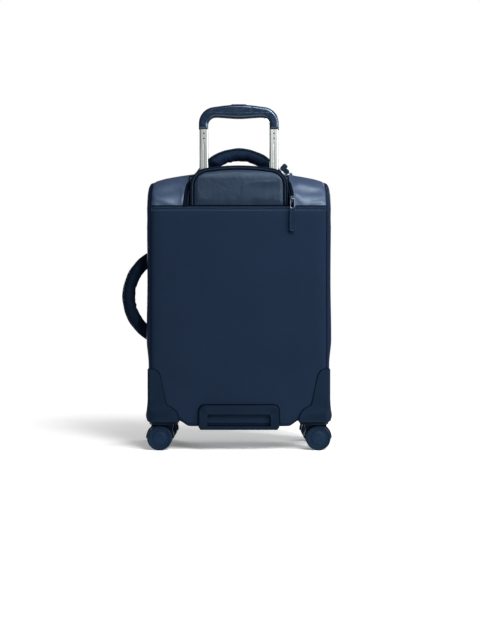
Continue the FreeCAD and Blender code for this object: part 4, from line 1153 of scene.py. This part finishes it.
def shade_lines_round_mouldings():
    """Painted shade: dark cords along the edges of the corner guards and the bottom grip, where shade
    falls in the gap against the cloth.
    """
    rear = [(115, 58), (115.6, 62), (119, 73.5), (124, 79.5), (129, 83), (139.5, 88.6), (146, 117),
            (151.4, 145), (154, 150.5), (158.5, 155.5), (164, 157.4)]
    side = [(13, 157.4), (17.5, 155), (21, 149), (24, 140), (34, 96), (37, 91), (56, 77), (61, 72),
            (64.6, 62), (65, 58)]
    for end in (-1, 1):
        face = -REAR if end < 0 else FRONT
        target = [(x, face * end, z) for x, z in rear]
        target += [(x, (face - d) * end, 157.4) for x, d in ((169, 1), (173, 4), (HALF, 9))]
        target += [(HALF, (face - d) * end, z) for d, z in side]
        target = resample(np.array(target, float), 1.5)[0]
        path, up = project(target)
        for sign in (-1, 1):
            turn = (sign, 1, 1)
            label = f"{'rear' if end < 0 else 'front'}_{side_name(sign)}"
            cord(f"guard_rim_painted_shade_{label}", path * turn + up * turn * 0.5, up * turn, 0.9, PAINTED_SHADE, "case")
    # A dark cord round the bottom grip: painted shade in its gap against the back panel.
    rim = [(-77.9, 48), (-77.9, 77), (-76.5, 83), (-72.5, 87.6), (-66, 89)]
    rim += [(-x, z) for x, z in rim[::-1]]
    path = resample(np.array([(x, REAR - 0.6, z) for x, z in rim], float), 1.5)[0]
    cord("grip_rim_painted_shade", path, same(BACKWARD, path), 1.1, PAINTED_SHADE, "case")


# ---- floor, light and camera


# Name, place, point aimed at, width and height, and power: metres and watts.
LAMPS = [
    ("key", (0.95, -2.50, 2.1), (0, 0, 0.35), (0.8, 0.8), 56.0),
    ("high", (0.45, -1.10, 1.65), (0, 0, 0.35), (0.9, 0.5), 21.0),
    ("right", (1.35, -1.05, 1.0), (0.1, 0, 0.3), (0.5, 0.9), 24.0),
    ("behind_right", (2.0, 1.9, 1.5), (0, 0, 0.35), (0.9, 1.0), 30.0),
    ("behind_left", (-1.2, 2.5, 0.50), (0, 0, 0.30), (1.6, 0.6), 48.0),
]
AMBIENT, FLOOR_GLOW = 0.13, 0.17
CAMERA_AT, LENS = (0.0021, -2.110, 0.252), 58.5


def stage():
    floor = bpy.data.meshes.new("floor")
    half = 3.0
    corners = [(-half, -half, 0), (half, -half, 0), (half, half, 0), (-half, half, 0)]
    floor.from_pydata(corners, [], [(0, 1, 2, 3)])
    obj = bpy.data.objects.new("floor", floor)
    bpy.context.scene.collection.objects.link(obj)
    m = Nodes("floor_paper")
    distance = m.add("ShaderNodeVectorMath", {"operation": "LENGTH"})
    m.put(distance.inputs[0], m.coords.outputs["Object"])
    fade = m.ramp(distance.outputs["Value"], 0.0, 1.0, 0.5, 1.6)
    clear = m.tree.nodes.new("ShaderNodeBsdfTransparent")
    mix = m.tree.nodes.new("ShaderNodeMixShader")
    m.put(mix.inputs[0], fade)
    m.tree.links.new(m.bsdf.outputs[0], mix.inputs[1])
    m.tree.links.new(clear.outputs[0], mix.inputs[2])
    out = [n for n in m.tree.nodes if n.type == "OUTPUT_MATERIAL"][0]
    m.tree.links.new(mix.outputs[0], out.inputs["Surface"])
    grain = m.noise(400.0, 2.0)
    m.finish(Base_Color=[0.94, 0.94, 0.94], Roughness=0.9, Specular_IOR_Level=0.1,
             Normal=m.bump(grain, 0.00002), Emission_Color=[1.0, 1.0, 1.0], Emission_Strength=FLOOR_GLOW)
    floor.materials.append(m.mat)

    world = bpy.data.worlds.new("studio")
    bpy.context.scene.world = world
    world.use_nodes = True
    tree = world.node_tree
    back = tree.nodes["Background"]
    back.inputs["Color"].default_value = (1, 1, 1, 1)
    path = tree.nodes.new("ShaderNodeLightPath")
    level = tree.nodes.new("ShaderNodeMapRange")
    level.inputs["To Min"].default_value = AMBIENT
    level.inputs["To Max"].default_value = 1.0
    tree.links.new(path.outputs["Is Camera Ray"], level.inputs["Value"])
    tree.links.new(level.outputs["Result"], back.inputs["Strength"])

    for name, at, aim, size, power in LAMPS:
        data = bpy.data.lights.new(name, "AREA")
        data.shape = "RECTANGLE"
        data.size, data.size_y = size
        data.energy = power
        light = bpy.data.objects.new(name, data)
        light.location = at
        light.rotation_euler = (Vector(aim) - Vector(at)).to_track_quat("-Z", "Y").to_euler()
        bpy.context.scene.collection.objects.link(light)

    data = bpy.data.cameras.new("camera")
    data.sensor_width = 36.0
    data.lens = LENS
    camera = bpy.data.objects.new("camera", data)
    camera.location = CAMERA_AT
    camera.rotation_euler = (math.pi / 2, 0, 0)
    bpy.context.scene.collection.objects.link(camera)
    bpy.context.scene.camera = camera
    bpy.context.scene.view_settings.view_transform = "Standard"


back_panel()
top_panel()
gussets()
lower_cloth()
lid_cloth()
main_zip()
mouth_tape()
flap()
handles()
anchors()
pulls()
pocket()
linings()
straps()
shade_lines_round_mouldings()
sew()
stage()
